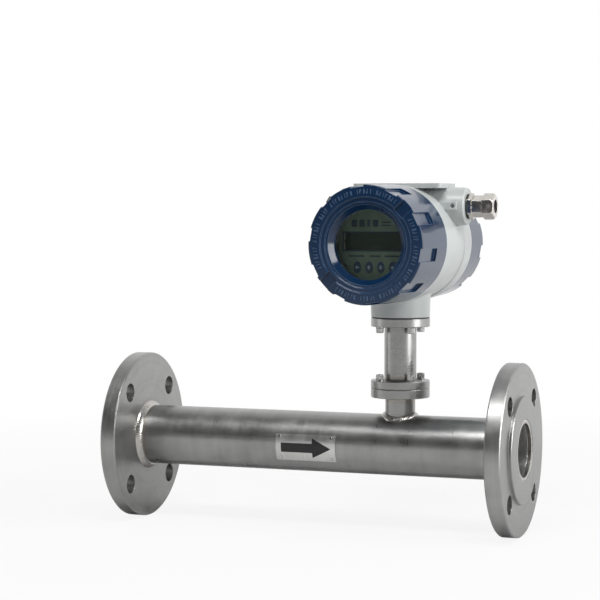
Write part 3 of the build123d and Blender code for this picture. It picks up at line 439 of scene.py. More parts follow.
@dataclass(frozen=True)
class Moulded(Finish):
    """Moulded rubber or plastic with a fine spark-eroded grain.

    Attributes:
        colour: The material's colour.
        roughness: How dull it is.
        grain: Size of the grain, in metres.
        depth: Depth of the grain, in metres.
        edge: Radius of the edges, in metres.
        gloss: Strength of a clear skin over it.
    """

    colour: Colour
    roughness: float
    grain: float = 0.35 * MM
    depth: float = 0.01 * MM
    edge: float = 0.25 * MM
    gloss: float = 0.0

    def inputs(self, graph: Graph) -> dict[str, Any]:
        """Return the shader's inputs."""
        place = graph.position()
        grain = graph.noise(place, 1.0 / self.grain, 2.0, 0.6)
        cloud = graph.noise(place, 120.0)
        return {
            "Base Color": graph.tinted(self.colour, graph.swing(cloud, 0.88, 1.12)),
            "Roughness": graph.total(graph.swing(grain, -0.06, 0.06), self.roughness),
            "Coat Weight": self.gloss, "Normal": graph.bump(grain, self.depth, graph.rounded(self.edge)),
        }


@dataclass(frozen=True)
class WindowGlass(Finish):
    """The cover's thick toughened glass, faintly green, with a wiped surface.

    Attributes:
        colour: The glass's colour over its thickness.
    """

    colour: Colour = (0.86, 0.93, 0.90)

    def inputs(self, graph: Graph) -> dict[str, Any]:
        """Return the shader's inputs."""
        smear = graph.noise(graph.scaled(graph.position(), (1.0, 1.0, 0.35)), 70.0, 3.0, 0.6)
        return {
            "Base Color": (*self.colour, 1.0), "Roughness": graph.spread(smear, 0.45, 0.8, 0.0, 0.05),
            "Transmission Weight": 1.0, "IOR": 1.5,
        }


@dataclass(frozen=True)
class Studio:
    """The photograph's camera, a pale floor and plain soft light.

    Attributes:
        eye: The camera's place, in metres.
        yaw: Degrees that the camera is turned to the left of straight on.
        pitch: Degrees that it looks down.
        lens: Focal length, in millimetres.
        sensor: Width of the sensor, in millimetres.
        clip: The nearest and the farthest that it sees, in metres.
        floor_drop: Gap between the flanges and the floor, in metres.
        floor_size: Width of the floor, in metres.
        floor_colour: Colour of the floor.
        floor_white: Share of plain white that the camera sees in the floor near the meter.
        floor_fade: Distances between which the floor turns into the white backdrop, in metres.
        aim: The point that the lamps face, in metres.
        room: How the world's plain light grows from the camera's side to the back: the depth of a direction
            where it starts and ends to grow, and its level there.
        backdrop: The same for the white backdrop behind the meter that metal and glass show.
    """

    eye: Point = (0.81865, -1.69840, 0.21895)
    yaw: float = 20.737
    pitch: float = 2.668
    lens: float = 114.52
    sensor: float = 36.0
    clip: tuple[float, float] = (0.05, 50.0)
    floor_drop: float = 0.2 * MM
    floor_size: float = 12.0
    floor_colour: Colour = (0.62, 0.62, 0.62)
    floor_white: float = 0.88
    floor_fade: tuple[float, float] = (0.35, 1.1)
    aim: Point = (0.2, 0.0, 0.08)
    room: tuple[float, float, float, float] = (-0.6, 0.5, 0.12, 0.45)
    backdrop: tuple[float, float, float, float] = (-0.25, 0.75, 0.08, 1.0)

    def camera(self) -> None:
        """Make the camera and give it to the scene."""
        data = bpy.data.cameras.new("photo_camera")
        data.lens = self.lens
        data.sensor_width = self.sensor
        data.clip_start, data.clip_end = self.clip
        camera = bpy.data.objects.new("photo_camera", data)
        camera.location = self.eye
        camera.rotation_euler = (radians(90 - self.pitch), 0.0, radians(self.yaw))
        bpy.context.scene.collection.objects.link(camera)
        bpy.context.scene.camera = camera

    def floor(self) -> None:
        """Lay the pale floor under the flanges, white to the camera, metal and glass but for the shadow."""
        half = self.floor_size / 2
        level = low("inlet_flange").z - self.floor_drop
        mesh = bpy.data.meshes.new("floor")
        corners = [(-half, -half, level), (half, -half, level), (half, half, level), (-half, half, level)]
        mesh.from_pydata(corners, [], [(0, 1, 2, 3)])
        floor = bpy.data.objects.new("floor", mesh)
        bpy.context.scene.collection.objects.link(floor)
        graph = Graph(bpy.data.materials.new("studio_floor"))
        near = graph.vector_math("DISTANCE", graph.position(), (*self.aim[:2], level)).outputs["Value"]
        far = graph.spread(near, *self.floor_fade, 0.0, 1.0)
        seen = graph.spread(near, *self.floor_fade, self.floor_white, 1.0)
        kept = graph.math("MULTIPLY", graph.ray("Camera"), seen)
        share = graph.math("MAXIMUM", kept, graph.math("MULTIPLY", graph.mirrored(), far))
        lit = graph.node("BsdfDiffuse", {"Color": (*self.floor_colour, 1.0)})
        white = graph.node("Emission", {"Color": WHITE, "Strength": 1.0})
        mix = graph.node("MixShader", {0: share, 1: lit.outputs[0], 2: white.outputs[0]})
        mesh.materials.append(graph.close(mix))

    def world(self) -> None:
        """Light the room evenly, white behind the meter and dim behind the camera."""
        graph = Graph(bpy.data.worlds.new("studio"))
        depth = graph.node("SeparateXYZ", {0: graph.node("TexCoord").outputs["Generated"]}).outputs["Y"]
        plain = graph.spread(depth, *self.room, kind="SMOOTHSTEP")
        shown = graph.spread(depth, *self.backdrop, kind="SMOOTHSTEP")
        light = graph.node("Mix", {0: graph.mirrored(), 2: plain, 3: shown}).outputs[0]
        strength = graph.node("Mix", {0: graph.ray("Camera"), 2: light, 3: 1.0}).outputs[0]
        background = graph.node("Background", {"Color": WHITE, "Strength": strength})
        bpy.context.scene.world = graph.close(background, "OutputWorld")

    def lamp(self, name: str, place: Point, size: tuple[float, float], power: float) -> None:
        """Hang one soft box.

        Args:
            name: The lamp's name.
            place: Where it hangs, in metres.
            size: Its width and height, in metres.
            power: Its power, in watts.
        """
        data = bpy.data.lights.new(name, "AREA")
        data.shape = "RECTANGLE"
        data.size, data.size_y = size
        data.energy = power
        lamp = bpy.data.objects.new(name, data)
        lamp.location = place
        lamp.rotation_mode = "QUATERNION"
        lamp.rotation_quaternion = (Vector(self.aim) - Vector(place)).to_track_quat("-Z", "Y")
        bpy.context.scene.collection.objects.link(lamp)

    def build(self) -> None:
        """Set up the camera, the floor and the light."""
        self.camera()
        self.floor()
        self.world()
        self.lamp("top_box", (0.45, -1.0, 1.75), (1.3, 0.45), 30.0)
        self.lamp("right_box", (2.1, -0.15, 0.7), (0.8, 1.3), 30.0)
        self.lamp("left_box", (-1.6, -0.6, 0.6), (0.5, 1.2), 4.0)
        bpy.context.scene.view_settings.view_transform = "Standard"


class Skin:
    """The points and faces of one mesh while it is being made."""

    def __init__(self) -> None:
        """Start with nothing."""
        self.points: list[Vector] = []
        self.faces: list[tuple[int, ...]] = []

    def loft(self, rings: Sequence[Sequence[Vector]], looped: bool = False) -> "Skin":
        """Skin a row of closed rings that have the same number of points.

        Args:
            rings: The rings, in order.
            looped: Whether the last ring joins the first, as in a torus; else the end rings are filled in.

        Returns:
            The skin itself, so that calls can follow each other.
        """
        start, size, count = len(self.points), len(rings[0]), len(rings)
        for ring in rings:
            self.points.extend(ring)
        for row in range(count if looped else count - 1):
            first, second = start + row * size, start + (row + 1) % count * size
            for spot in range(size):
                after = (spot + 1) % size
                self.faces.append((first + spot, first + after, second + after, second + spot))
        if not looped:
            self.faces.append(tuple(range(start + size - 1, start - 1, -1)))
            self.faces.append(tuple(start + (count - 1) * size + spot for spot in range(size)))
        return self

    def prism(self, outline: Sequence[Vector], step: Vector) -> "Skin":
        """Raise a flat outline by a step."""
        return self.loft([list(outline), [point + step for point in outline]])

    def make(self, name: str, material: Material, slot: str, body: str = "root",
             stands_for: Sequence[str] = (), sharp: float = 35.0) -> bpy.types.Object:
        """Turn the skin into a piece of the meter.

        Args:
            name: The piece's name.
            material: Its material.
            slot: The record's material slot that it stands for; not used.
            body: The CAD body that it rides on.
            stands_for: The CAD nodes that it replaces.
            sharp: The angle in degrees above which an edge stays sharp.

        Returns:
            The piece.
        """
        mesh = bpy.data.meshes.new(name)
        mesh.from_pydata([tuple(point) for point in self.points], [], self.faces)
        build = bmesh.new()
        build.from_mesh(mesh)
        bmesh.ops.recalc_face_normals(build, faces=build.faces)
        build.to_mesh(mesh)
        build.free()
        mesh.shade_smooth()
        mesh.set_sharp_from_angle(angle=radians(sharp))
        mesh.materials.append(material)
        piece = bpy.data.objects.new(name, mesh)
        bpy.context.scene.collection.objects.link(piece)
        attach(piece, body)
        if stands_for:
            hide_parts(*stands_for)
        log.info("piece %s on body %s: %d faces", name, body, len(mesh.polygons))
        return piece


def dress(finish: Finish | Material, *nodes: str) -> None:
    """Give CAD nodes their finish and shade their curved faces smoothly.

    Args:
        finish: The finish, or a material that several calls share.
        nodes: The CAD nodes' names.
    """
    material = finish.material() if isinstance(finish, Finish) else finish
    for node in nodes:
        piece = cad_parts[node]
        if piece.material_slots:
            for slot in piece.material_slots:
                slot.material = material
        else:
            piece.data.materials.append(material)
        piece.data.shade_smooth()
        piece.data.set_sharp_from_angle(angle=radians(SMOOTH_BELOW))
        log.info("node %s dressed in %s", node, material.name)


def arc(first: float, last: float, steps: int) -> list[float]:
    """Return evenly spaced angles from one to another, both included."""
    return [first + (last - first) * step / steps for step in range(steps + 1)]


def round_angles(count: int) -> list[float]:
    """Return evenly spaced angles once round."""
    return [tau * step / count for step in range(count)]


@dataclass(frozen=True)
class WeldRipple:
    """The wave that a welder's torch leaves along a bead.

    Attributes:
        pitch: Length of one ripple, in metres.
        height: How proud it stands, in metres.
        crown: How far the bead bulges between its toes, in metres.
        bow: How far the ripple's middle trails its ends, in ripples.
        across: Points across the bead.
        along: Rings for each ripple.
    """

    pitch: float = 2.3 * MM
    height: float = 0.22 * MM
    crown: float = 0.55 * MM
    bow: float = 0.45
    across: int = 8
    along: int = 6

    def rise(self, travel: float, share: float) -> float:
        """Return how far the bead stands above the line between its toes.

        Args:
            travel: Distance along the bead, in metres.
            share: Place across the bead, from 0 at one toe to 1 at the other.

        Returns:
            The height, in metres.
        """
        middle_share = 1 - (2 * share - 1) ** 2
        phase = travel / self.pitch - self.bow * middle_share
        tooth = phase % 1.0
        wave = tooth ** 0.6 * (1 - tooth) ** 0.35 * 1.9
        wander = 0.25 * sin(travel / (7.3 * MM)) + 0.15 * sin(travel / (3.1 * MM) + 1.3)
        return middle_share ** 0.6 * (self.crown * (1 + 0.35 * wander) + self.height * wave)

    def count(self, length: float) -> int:
        """Return how many rings a bead of this length takes."""
        return self.along * round(length / self.pitch)


@dataclass(frozen=True)
class FlowLine:
    """The flow tube, its two flanges and their welds.

    Attributes:
        tube_radius: Outer radius of the tube, in metres.
        bore_radius: Inner radius of the tube, in metres.
        socket_radius: Radius of the flange's bore, in metres.
        thickness: Thickness of a flange with its raised face, in metres.
        leg: Leg of the fillet weld, in metres.
        recess: How far the face weld lies below the raised face, in metres.
        setback: How far the tube's end lies below the raised face, in metres.
        face_crown: How far the face weld bulges, in metres.
        ripple: The wave of the fillet weld.
    """

    tube_radius: float = 28.5 * MM
    bore_radius: float = 25.0 * MM
    socket_radius: float = 28.65 * MM
    thickness: float = 18.0 * MM
    leg: float = 5.0 * MM
    recess: float = 0.5 * MM
    setback: float = 4.0 * MM
    face_crown: float = 0.22 * MM
    ripple: WeldRipple = WeldRipple()

    def bead(self, skin: Skin, toes: tuple[Toe, Toe], root: Sequence[Toe], ripple: WeldRipple) -> None:
        """Lay one bead round the tube.

        Args:
            skin: The mesh that takes it.
            toes: The along and radius of each toe, in metres.
            root: The along and radius of the hidden corners, in metres.
            ripple: The bead's wave.
        """
        (x0, r0), (x1, r1) = toes
        run = hypot(x1 - x0, r1 - r0)
        inner = sum(x for x, _ in root) / len(root), sum(r for _, r in root) / len(root)
        normal = (r1 - r0) / run, (x0 - x1) / run
        if normal[0] * ((x0 + x1) / 2 - inner[0]) + normal[1] * ((r0 + r1) / 2 - inner[1]) < 0:
            normal = -normal[0], -normal[1]
        length = tau * (r0 + r1) / 2
        rings = []
        for angle in round_angles(ripple.count(length)):
            ring = []
            for step in range(ripple.across + 1):
                share = step / ripple.across
                rise = ripple.rise(angle / tau * length, share)
                along = x0 + (x1 - x0) * share + normal[0] * rise
                ring.append(Axle.PIPE.place(r0 + (r1 - r0) * share + normal[1] * rise, angle, along))
            ring.extend(Axle.PIPE.place(radius, angle, along) for along, radius in root)
            rings.append(ring)
        skin.loft(rings, looped=True)

    def beads(self, weld: Material) -> None:
        """Weld both flanges to the tube, behind and at the face."""
        skin = Skin()
        seam = WeldRipple(pitch=1.9 * MM, height=0.08 * MM, crown=self.face_crown, across=6)
        for start, way in ((low("inlet_flange").x, 1), (high("outlet_flange").x, -1)):
            back = start + way * self.thickness
            toes = ((back, self.tube_radius + self.leg), (back + way * self.leg, self.tube_radius))
            self.bead(skin, toes, [(back, self.tube_radius)], self.ripple)
            front = start + way * self.recess
            deep = start + way * self.setback
            toes = ((front, self.bore_radius), (front, self.socket_radius))
            self.bead(skin, toes, [(deep, self.socket_radius), (deep, self.bore_radius)], seam)
        skin.make("flange_weld_beads", weld, "weld_bead", stands_for=["flange_welds"])

    def build(self, weld: Material) -> None:
        """Dress the tube and the flanges, and weld them."""
        ends = (low("flow_tube").x + self.thickness, high("flow_tube").x - self.thickness)
        # The tube's bore gets painted light: its colour is made paler inside.
        tube = TurnedSteel("tube_steel", Axle.PIPE, roughness=0.33, lines=0.9 * MM, depth=0.006 * MM,
                           heat=ends, bore=self.bore_radius + 0.5 * MM)
        flange = TurnedSteel("flange_steel", Axle.PIPE, colour=(0.37, 0.37, 0.365), roughness=0.36,
                             lines=0.5 * MM, depth=0.02 * MM, edge=0.9 * MM)
        dress(tube, "flow_tube")
        dress(flange, "inlet_flange", "outlet_flange")
        self.beads(weld)


@dataclass(frozen=True)
class FlowArrow:
    """The riveted plate with the black arrow that shows the way the gas flows.

    Attributes:
        tail: Where the arrow's shaft starts along the pipe, in metres.
        neck: Where its head starts, in metres.
        tip: Where its tip is, in metres.
        shaft: Lowest and highest angle of the shaft, in degrees up from level.
        head: Lowest and highest angle of the head.
        proud: How far the ink stands above the plate, in metres.
        rows: Steps round the plate in each part.
        blunt: Share of the head's length that is left at its corners.
    """

    tail: float = 167.3 * MM
    neck: float = 198.4 * MM
    tip: float = 217.1 * MM
    shaft: tuple[float, float] = (-15.5, 2.0)
    head: tuple[float, float] = (-25.5, 12.0)
    proud: float = 0.06 * MM
    rows: int = 24
    blunt: float = 0.002

    def ink(self, black: Material) -> None:
        """Print the arrow as a thin skin that follows the plate."""
        radius = -low("arrow_plate").y
        skin = Skin()
        parts = ((self.shaft, self.tail, self.neck), (self.head, self.neck, self.tip))
        for (start, end), left, right in parts:
            rings = []
            for angle in arc(start, end, self.rows):
                far = right
                if right == self.tip:
                    share = 1 - abs(2 * (angle - start) / (end - start) - 1)
                    far = left + (right - left) * max(share, self.blunt)
                corners = ((self.proud, left), (self.proud, far), (-self.proud, far), (-self.proud, left))
                turn = radians(angle)
                rings.append([Axle.PIPE.place(radius + rise, turn, along) for rise, along in corners])
            skin.loft(rings)
        skin.make("arrow_ink", black, "black_rubber")

    def build(self) -> None:
        """Dress the plate and its rivets, and print the arrow."""
        plate = TurnedSteel("label_steel", Axle.PIPE, colour=(0.66, 0.66, 0.65), lines=0.25 * MM,
                            depth=0.004 * MM, edge=0.2 * MM)
        ink = Moulded("arrow_black", (0.012, 0.012, 0.013), roughness=0.42, grain=0.2 * MM, depth=0.003 * MM)
        dress(plate, "arrow_plate")
        dress(BrightMetal("rivet_metal", (0.58, 0.58, 0.57), roughness=0.24), "arrow_rivets")
        self.ink(ink.material())


@dataclass(frozen=True)
class CapScrew:
    """A socket head cap screw with a knurled head.

    Attributes:
        head_radius: Radius of the head, in metres.
        head_height: Height of the head, in metres.
        shank_radius: Radius of the shank, in metres.
        flats: Width across the socket's flats, in metres.
        socket_depth: Depth of the socket, in metres.
        knurl: Depth of the knurl's grooves, in metres.
        bevel: Width of the head's bevel, in metres.
        pitch: Pitch of the thread, in metres.
        thread: Depth of the thread, in metres.
        play: How far the thread's crest stays inside the shank's radius, in metres.
        lip: Width and depth of the socket's countersink, in metres.
        sides: Points round the screw, three for each groove of the knurl.
    """

    head_radius: float = 3.6 * MM
    head_height: float = 4.6 * MM
    shank_radius: float = 2.0 * MM
    flats: float = 3.2 * MM
    socket_depth: float = 2.4 * MM
    knurl: float = 0.22 * MM
    bevel: float = 0.4 * MM
    pitch: float = 0.7 * MM
    thread: float = 0.18 * MM
    play: float = 0.06 * MM
    lip: float = 0.15 * MM
    sides: int = 72

    def hexagon(self, _: int, angle: float) -> float:
        """Return the socket's radius at an angle."""
        return self.flats / 2 / cos((angle + pi / 6) % (pi / 3) - pi / 6)

    def groove(self, number: int, _: float) -> float:
        """Return the head's radius at a point, in or out of a knurl groove."""
        return self.head_radius - (self.knurl if number % 3 == 0 else 0.0)

    def add(self, skin: Skin, foot: Vector, way: float, length: float) -> None:
        """Add one screw.

        Args:
            skin: The mesh that takes it.
            foot: The centre of the head's underside.
            way: 1 where the head points up, -1 where it points down.
            length: Length under the head, in metres.
        """
        def ring(height: float, radius: Callable[[int, float], float]) -> list[Vector]:
            """Return a ring about the screw at a height above the underside of its head."""
            points = []
            for number, angle in enumerate(round_angles(self.sides)):
                reach = radius(number, angle)
                points.append(foot + Vector((reach * cos(angle), reach * sin(angle), way * height)))
            return points

        def plain(radius: float) -> Callable[[int, float], float]:
            """Return a round section of that radius."""
            return lambda number, angle: radius

        root = self.shank_radius - self.play
        top = self.head_height
        shoulder = plain(self.head_radius - self.knurl / 2)
        profile = [(-length, plain(root - self.bevel))]
        for turn in range(int(length / self.pitch) - 1):
            base = -length + self.bevel + turn * self.pitch
            profile += [(base, plain(root - self.thread)), (base + self.pitch / 2, plain(root))]
        profile += [
            (0.0, plain(root)),
            (0.0, plain(self.head_radius - self.bevel)),
            (self.bevel / 2, shoulder),
            (0.9 * self.bevel, self.groove),
            (top - 1.3 * self.bevel, self.groove),
            (top - self.bevel, shoulder),
            (top, plain(self.head_radius - self.bevel - self.knurl)),
            (top, plain(self.flats / sqrt(3) + self.lip)),
            (top - self.lip, self.hexagon),
            (top - self.socket_depth, self.hexagon),
        ]
        skin.loft([ring(height, radius) for height, radius in profile])


@dataclass(frozen=True)
class Neck:
    """The branch, its bolted joint, the neck tube and the plate under the head.

    Attributes:
        nozzle_radius: Outer radius of the nozzle, in metres.
        tube_radius: Outer radius of the tube that it stands on, in metres.
        leg: How far the nozzle's weld reaches up and out, in metres.
        hollow: How far the bead's middle lies in from the line between its toes, in metres.
        buried: How far its hidden corner lies inside the metal, in metres.
        screw: The cap screw of both joints.
        ripple: The wave of the weld.
    """

    nozzle_radius: float = 14.0 * MM
    tube_radius: float = 28.5 * MM
    leg: float = 3.2 * MM
    hollow: float = 0.25 * MM
    buried: float = 0.3 * MM
    screw: CapScrew = CapScrew()
    ripple: WeldRipple = WeldRipple(pitch=2.0 * MM, height=0.2 * MM, crown=0.5 * MM)

    def on_tube(self, flat: Vector) -> Vector:
        """Return the point on the tube at a level distance and direction from the neck's axis."""
        height = sqrt(self.tube_radius ** 2 - flat.y ** 2)
        return Vector((Axle.NECK.centre.x + flat.x, flat.y, height))

    def saddle(self, weld: Material) -> None:
        """Weld the nozzle to the tube with a bead that follows both cylinders."""
        length = tau * (self.nozzle_radius + self.leg / 2)
        rings = []
        for angle in round_angles(self.ripple.count(length)):
            out = Vector((cos(angle), sin(angle), 0.0))
            root = self.on_tube(out * self.nozzle_radius)
            upper = root + Vector((0.0, 0.0, self.leg))
            lower = self.on_tube(out * (self.nozzle_radius + self.leg))
            normal = (upper - root).normalized() + (lower - root).normalized()
            normal.normalize()
            ring = []
            for step in range(self.ripple.across + 1):
                share = step / self.ripple.across
                sag = self.hollow * (1 - (2 * share - 1) ** 2)
                rise = self.ripple.rise(angle / tau * length, share) - sag
                ring.append(upper.lerp(lower, share) + normal * rise)
            ring.append(root - normal * self.buried)
            rings.append(ring)
        skin = Skin().loft(rings, looped=True)
        skin.make("nozzle_weld_bead", weld, "weld_bead", stands_for=["branch_weld"])

    def screws(self, node: str, way: float, metal: Material) -> None:
        """Replace one ring of plain screws by knurled ones.

        Args:
            node: The CAD node of the screws.
            way: 1 where their heads point up, -1 where they point down.
            metal: Their material.
        """
        offset = (high(node).x - low(node).x) / 2 - self.screw.head_radius
        centre = middle(node)
        crown, tip = (high(node).z, low(node).z) if way > 0 else (low(node).z, high(node).z)
        foot = crown - way * self.screw.head_height
        skin = Skin()
        for across in (1, -1):
            for ahead in (1, -1):
                place = Vector((centre.x + across * offset, centre.y + ahead * offset, foot))
                self.screw.add(skin, place, way, abs(foot - tip))
        name = node.replace("screws", "knurled_screws")
        skin.make(name, metal, "screw_steel", stands_for=[node], sharp=28.0)

    def build(self, weld: Material, metal: Material, rubber: Material) -> None:
        """Dress the neck from the tube up to the head's gasket."""
        ends = (low("branch_flange").z, high("sensor_flange").z)
        tube = TurnedSteel("neck_steel", Axle.NECK, roughness=0.30, lines=0.7 * MM, depth=0.005 * MM,
                           heat=ends)
        plate = TurnedSteel("neck_flange_steel", Axle.NECK, colour=(0.38, 0.38, 0.375), roughness=0.33,
                            lines=0.3 * MM, edge=0.6 * MM)
        dress(tube, "neck_tube", "branch_nozzle")
        dress(plate, "branch_flange", "sensor_flange", "head_plate")
        dress(metal, "neck_washers", "head_washers")
        dress(rubber, "branch_o_ring", "head_gasket")
        self.saddle(weld)
        self.screws("neck_screws", 1.0, metal)
        self.screws("head_screws", -1.0, metal)


class Probe:
    """The guarded pair of probes that hang in the gas."""

    def build(self) -> None:
        """Dress the stem and the two probes."""
        stem = TurnedSteel("stem_steel", Axle.NECK, roughness=0.30, lines=0.25 * MM, depth=0.01 * MM)
        rod = BrightMetal("probe_metal", (0.55, 0.55, 0.54), roughness=0.2)
        dress(stem, "probe_stem")
        dress(rod, "heated_probe", "reference_probe")


class ScrewSide(Enum):
    """Which way a cover's thread runs off the housing, as a sign along the head's axis."""

    FRONT = 1
    REAR = -1


@dataclass(frozen=True)
class Thread:
    """A helical ridge round the head's axis.

    Attributes:
        root: Radius of the wall that carries the ridge, in metres.
        crest: Radius of the ridge's crest, in metres.
        start: Where it starts ahead of the neck's axis, in metres.
        turns: How many turns it has.
        phase: Its angle at the start, in turns.
        pitch: Advance in one turn, in metres.
        foot: Half the ridge's width at the wall, in metres.
        flat: Half its width at the crest, in metres.
        sunk: How deep it goes into the wall, as a share of its height.
        steps: Rings for each turn.
        fade: Rings over which it rises at each end.
    """

    root: float
    crest: float
    start: float
    turns: float
    phase: float = 0.0
    pitch: float = 2.0 * MM
    foot: float = 0.75 * MM
    flat: float = 0.18 * MM
    sunk: float = 0.4
    steps: int = 90
    fade: int = 9

    def skin(self, side: ScrewSide) -> Skin:
        """Return the ridge's mesh, not yet a piece, as it runs off forward or back."""
        rings = []
        total = round(self.turns * self.steps)
        height = self.crest - self.root
        under = self.root - height * self.sunk
        for step in range(total + 1):
            turn = step / self.steps
            crest = self.root + height * min(1.0, step / self.fade, (total - step) / self.fade)
            along = self.start + side.value * turn * self.pitch
            angle = side.value * tau * (turn + self.phase)
            corners = ((under, -self.foot), (crest, -self.flat), (crest, self.flat), (under, self.foot))
            rings.append([Axle.HEAD.place(radius, angle, along + shift) for radius, shift in corners])
        return Skin().loft(rings)


@dataclass(frozen=True)
class Housing:
    """The cast grey housing with its ground screw.

    Attributes:
        bore: Radius of the threaded bores, in metres.
        ridge: How far the thread stands into the bore, in metres.
        thread_turns: How many turns the thread has.
        front_thread: Where the front thread starts ahead of the neck's axis, in metres.
        rear_thread: The same for the rear thread.
    """

    bore: float = 47.3 * MM
    ridge: float = 0.16 * MM
    thread_turns: float = 3.2
    front_thread: float = 19.4 * MM
    rear_thread: float = -37.4 * MM

    def build(self, metal: Material, bare: Material) -> None:
        """Dress the casting and cut its threads."""
        # The second colour is the lighter edge: thin paint and a painted highlight.
        paint = Paint("housing_grey", (0.42, 0.445, 0.44), (0.50, 0.525, 0.52), roughness=0.36, edge=0.9 * MM,
                      peel=1.1 * MM, peel_depth=0.012 * MM, coat=0.15)
        dress(paint, "housing_body")
        dress(metal, "ground_screw")
        for side, start in ((ScrewSide.FRONT, self.front_thread), (ScrewSide.REAR, self.rear_thread)):
            thread = Thread(self.bore, self.bore - self.ridge, start, self.thread_turns, phase=0.5)
            thread.skin(side).make(f"housing_{side.name.lower()}_thread", bare, "grey_paint")


@dataclass(frozen=True)
class CastMarks:
    """Short raised bars cast round a cover's face, in groups, where such covers carry a line of relief.

    Attributes:
        inner: Radius of the bars' inner ends, in metres.
        outer: Radius of their outer ends, in metres.
        height: How far they stand proud, in metres.
        bevel: Width of their bevels, in metres.
        stroke: Width of a thin bar, in metres.
        broad: Width of a broad bar, in metres.
        gap: From the middle of a bar to that of its twin, in metres.
        step: Angle from one bar to the next, in degrees.
        groups: How many bars each group has; groups are one step apart.
    """

    inner: float = 45.4 * MM
    outer: float = 49.4 * MM
    height: float = 0.4 * MM
    bevel: float = 0.22 * MM
    stroke: float = 0.55 * MM
    broad: float = 1.5 * MM
    gap: float = 0.9 * MM
    step: float = 3.7
    groups: tuple[int, ...] = (7, 5, 8, 4, 6) * 3

    def bar(self, skin: Skin, angle: float, width: float, ends: tuple[float, float], face: float) -> None:
        """Add one bar with bevelled sides.

        Args:
            skin: The mesh that takes it.
            angle: The angle of its middle, in radians.
            width: Its width, in metres.
            ends: The radii of its ends, in metres.
            face: How far the cover's face lies ahead of the neck's axis, in metres.
        """
        rings = []
        for rise, inset in ((-self.bevel, 0.0), (self.height - self.bevel, 0.0), (self.height, self.bevel)):
            near, far = ends[0] + inset, ends[1] - inset
            ring = []
            for radius, side in ((near, -1), (near, 1), (far, 1), (far, -1)):
                turn = angle + side * (width / 2 - inset) / radius
                ring.append(Axle.HEAD.place(radius, turn, face + rise))
            rings.append(ring)
        skin.loft(rings)

    def arc_of_bars(self, skin: Skin, start: float, end: float, face: float) -> None:
        """Fill an arc with groups of bars of four kinds, from one angle to another in degrees."""
        halfway = (self.inner + self.outer) / 2
        pattern = [shown for size in self.groups for shown in [True] * size + [False]]
        spot, number = start, 0
        while spot < end:
            if pattern[number]:
                kind = (number * 7) % 4
                wide = self.broad if kind == 2 else self.stroke
                self.bar(skin, radians(spot), wide, (halfway if kind == 1 else self.inner, self.outer), face)
                if kind in (1, 3):
                    twin = (self.inner, halfway if kind == 3 else self.outer)
                    self.bar(skin, radians(spot) + self.gap / halfway, self.stroke, twin, face)
            spot += self.step
            number += 1


@dataclass(frozen=True)
class Covers:
    """The two screwed covers with their O-rings and threads.

    Attributes:
        spigot: Radius of the threaded spigots, in metres.
        ridge: How far the thread stands proud of them, in metres.
        thread_turns: How many turns the thread has.
        front_thread: Where the front thread starts ahead of the neck's axis, in metres.
        rear_thread: The same for the rear thread.
        marks: The relief on the front cover's face.
        mark_arcs: Where the relief starts and ends round the face, in degrees.
    """

    spigot: float = 47.0 * MM
    ridge: float = 0.2 * MM
    thread_turns: float = 3.0
    front_thread: float = 19.8 * MM
    rear_thread: float = -37.8 * MM
    marks: CastMarks = CastMarks()
    mark_arcs: tuple[tuple[float, float], ...] = ((54.0, 208.0), (236.0, 390.0))

    def build(self, rubber: Material, bare: Material) -> None:
        """Dress both covers and add their threads and relief."""
        # The second colour of each paint is the lighter edge: thin paint and a painted highlight.
        paint = Paint("cover_navy", (0.003, 0.021, 0.062), (0.10, 0.18, 0.32), roughness=0.15,
                      peel=1.8 * MM, edge=0.6 * MM)
        relief = Paint("relief_navy", (0.035, 0.075, 0.15), (0.10, 0.18, 0.32), roughness=0.25, edge=0.2 * MM)
        dress(paint, "front_cover", "rear_cover")
        dress(rubber, "front_cover_o_ring", "rear_cover_o_ring")
        for side, start in ((ScrewSide.FRONT, self.front_thread), (ScrewSide.REAR, self.rear_thread)):
            name = side.name.lower()
            thread = Thread(self.spigot, self.spigot + self.ridge, start, self.thread_turns)
            thread.skin(side).make(f"{name}_cover_thread", bare, "blue_paint", body=f"{name}_cover")
        skin = Skin()
        for start, end in self.mark_arcs:
            self.marks.arc_of_bars(skin, start, end, -low("front_cover").y)
        skin.make("front_cover_relief", relief.material(), "blue_paint", body="front_cover")


class Window:
    """The glass and what holds it in the front cover."""

    def build(self, rubber: Material) -> None:
        """Dress the glass, its gasket and its ring."""
        dress(WindowGlass("toughened_glass"), "window_glass")
        dress(rubber, "window_gasket")
        dress(BrightMetal("ring_aluminium", (0.50, 0.51, 0.52), roughness=0.32), "window_ring")


class KeySymbol(Enum):
    """The plain sign on each key, from left to right."""

    LEFT = "key_1"
    UP = "key_2"
    DOWN = "key_3"
    ENTER = "key_4"


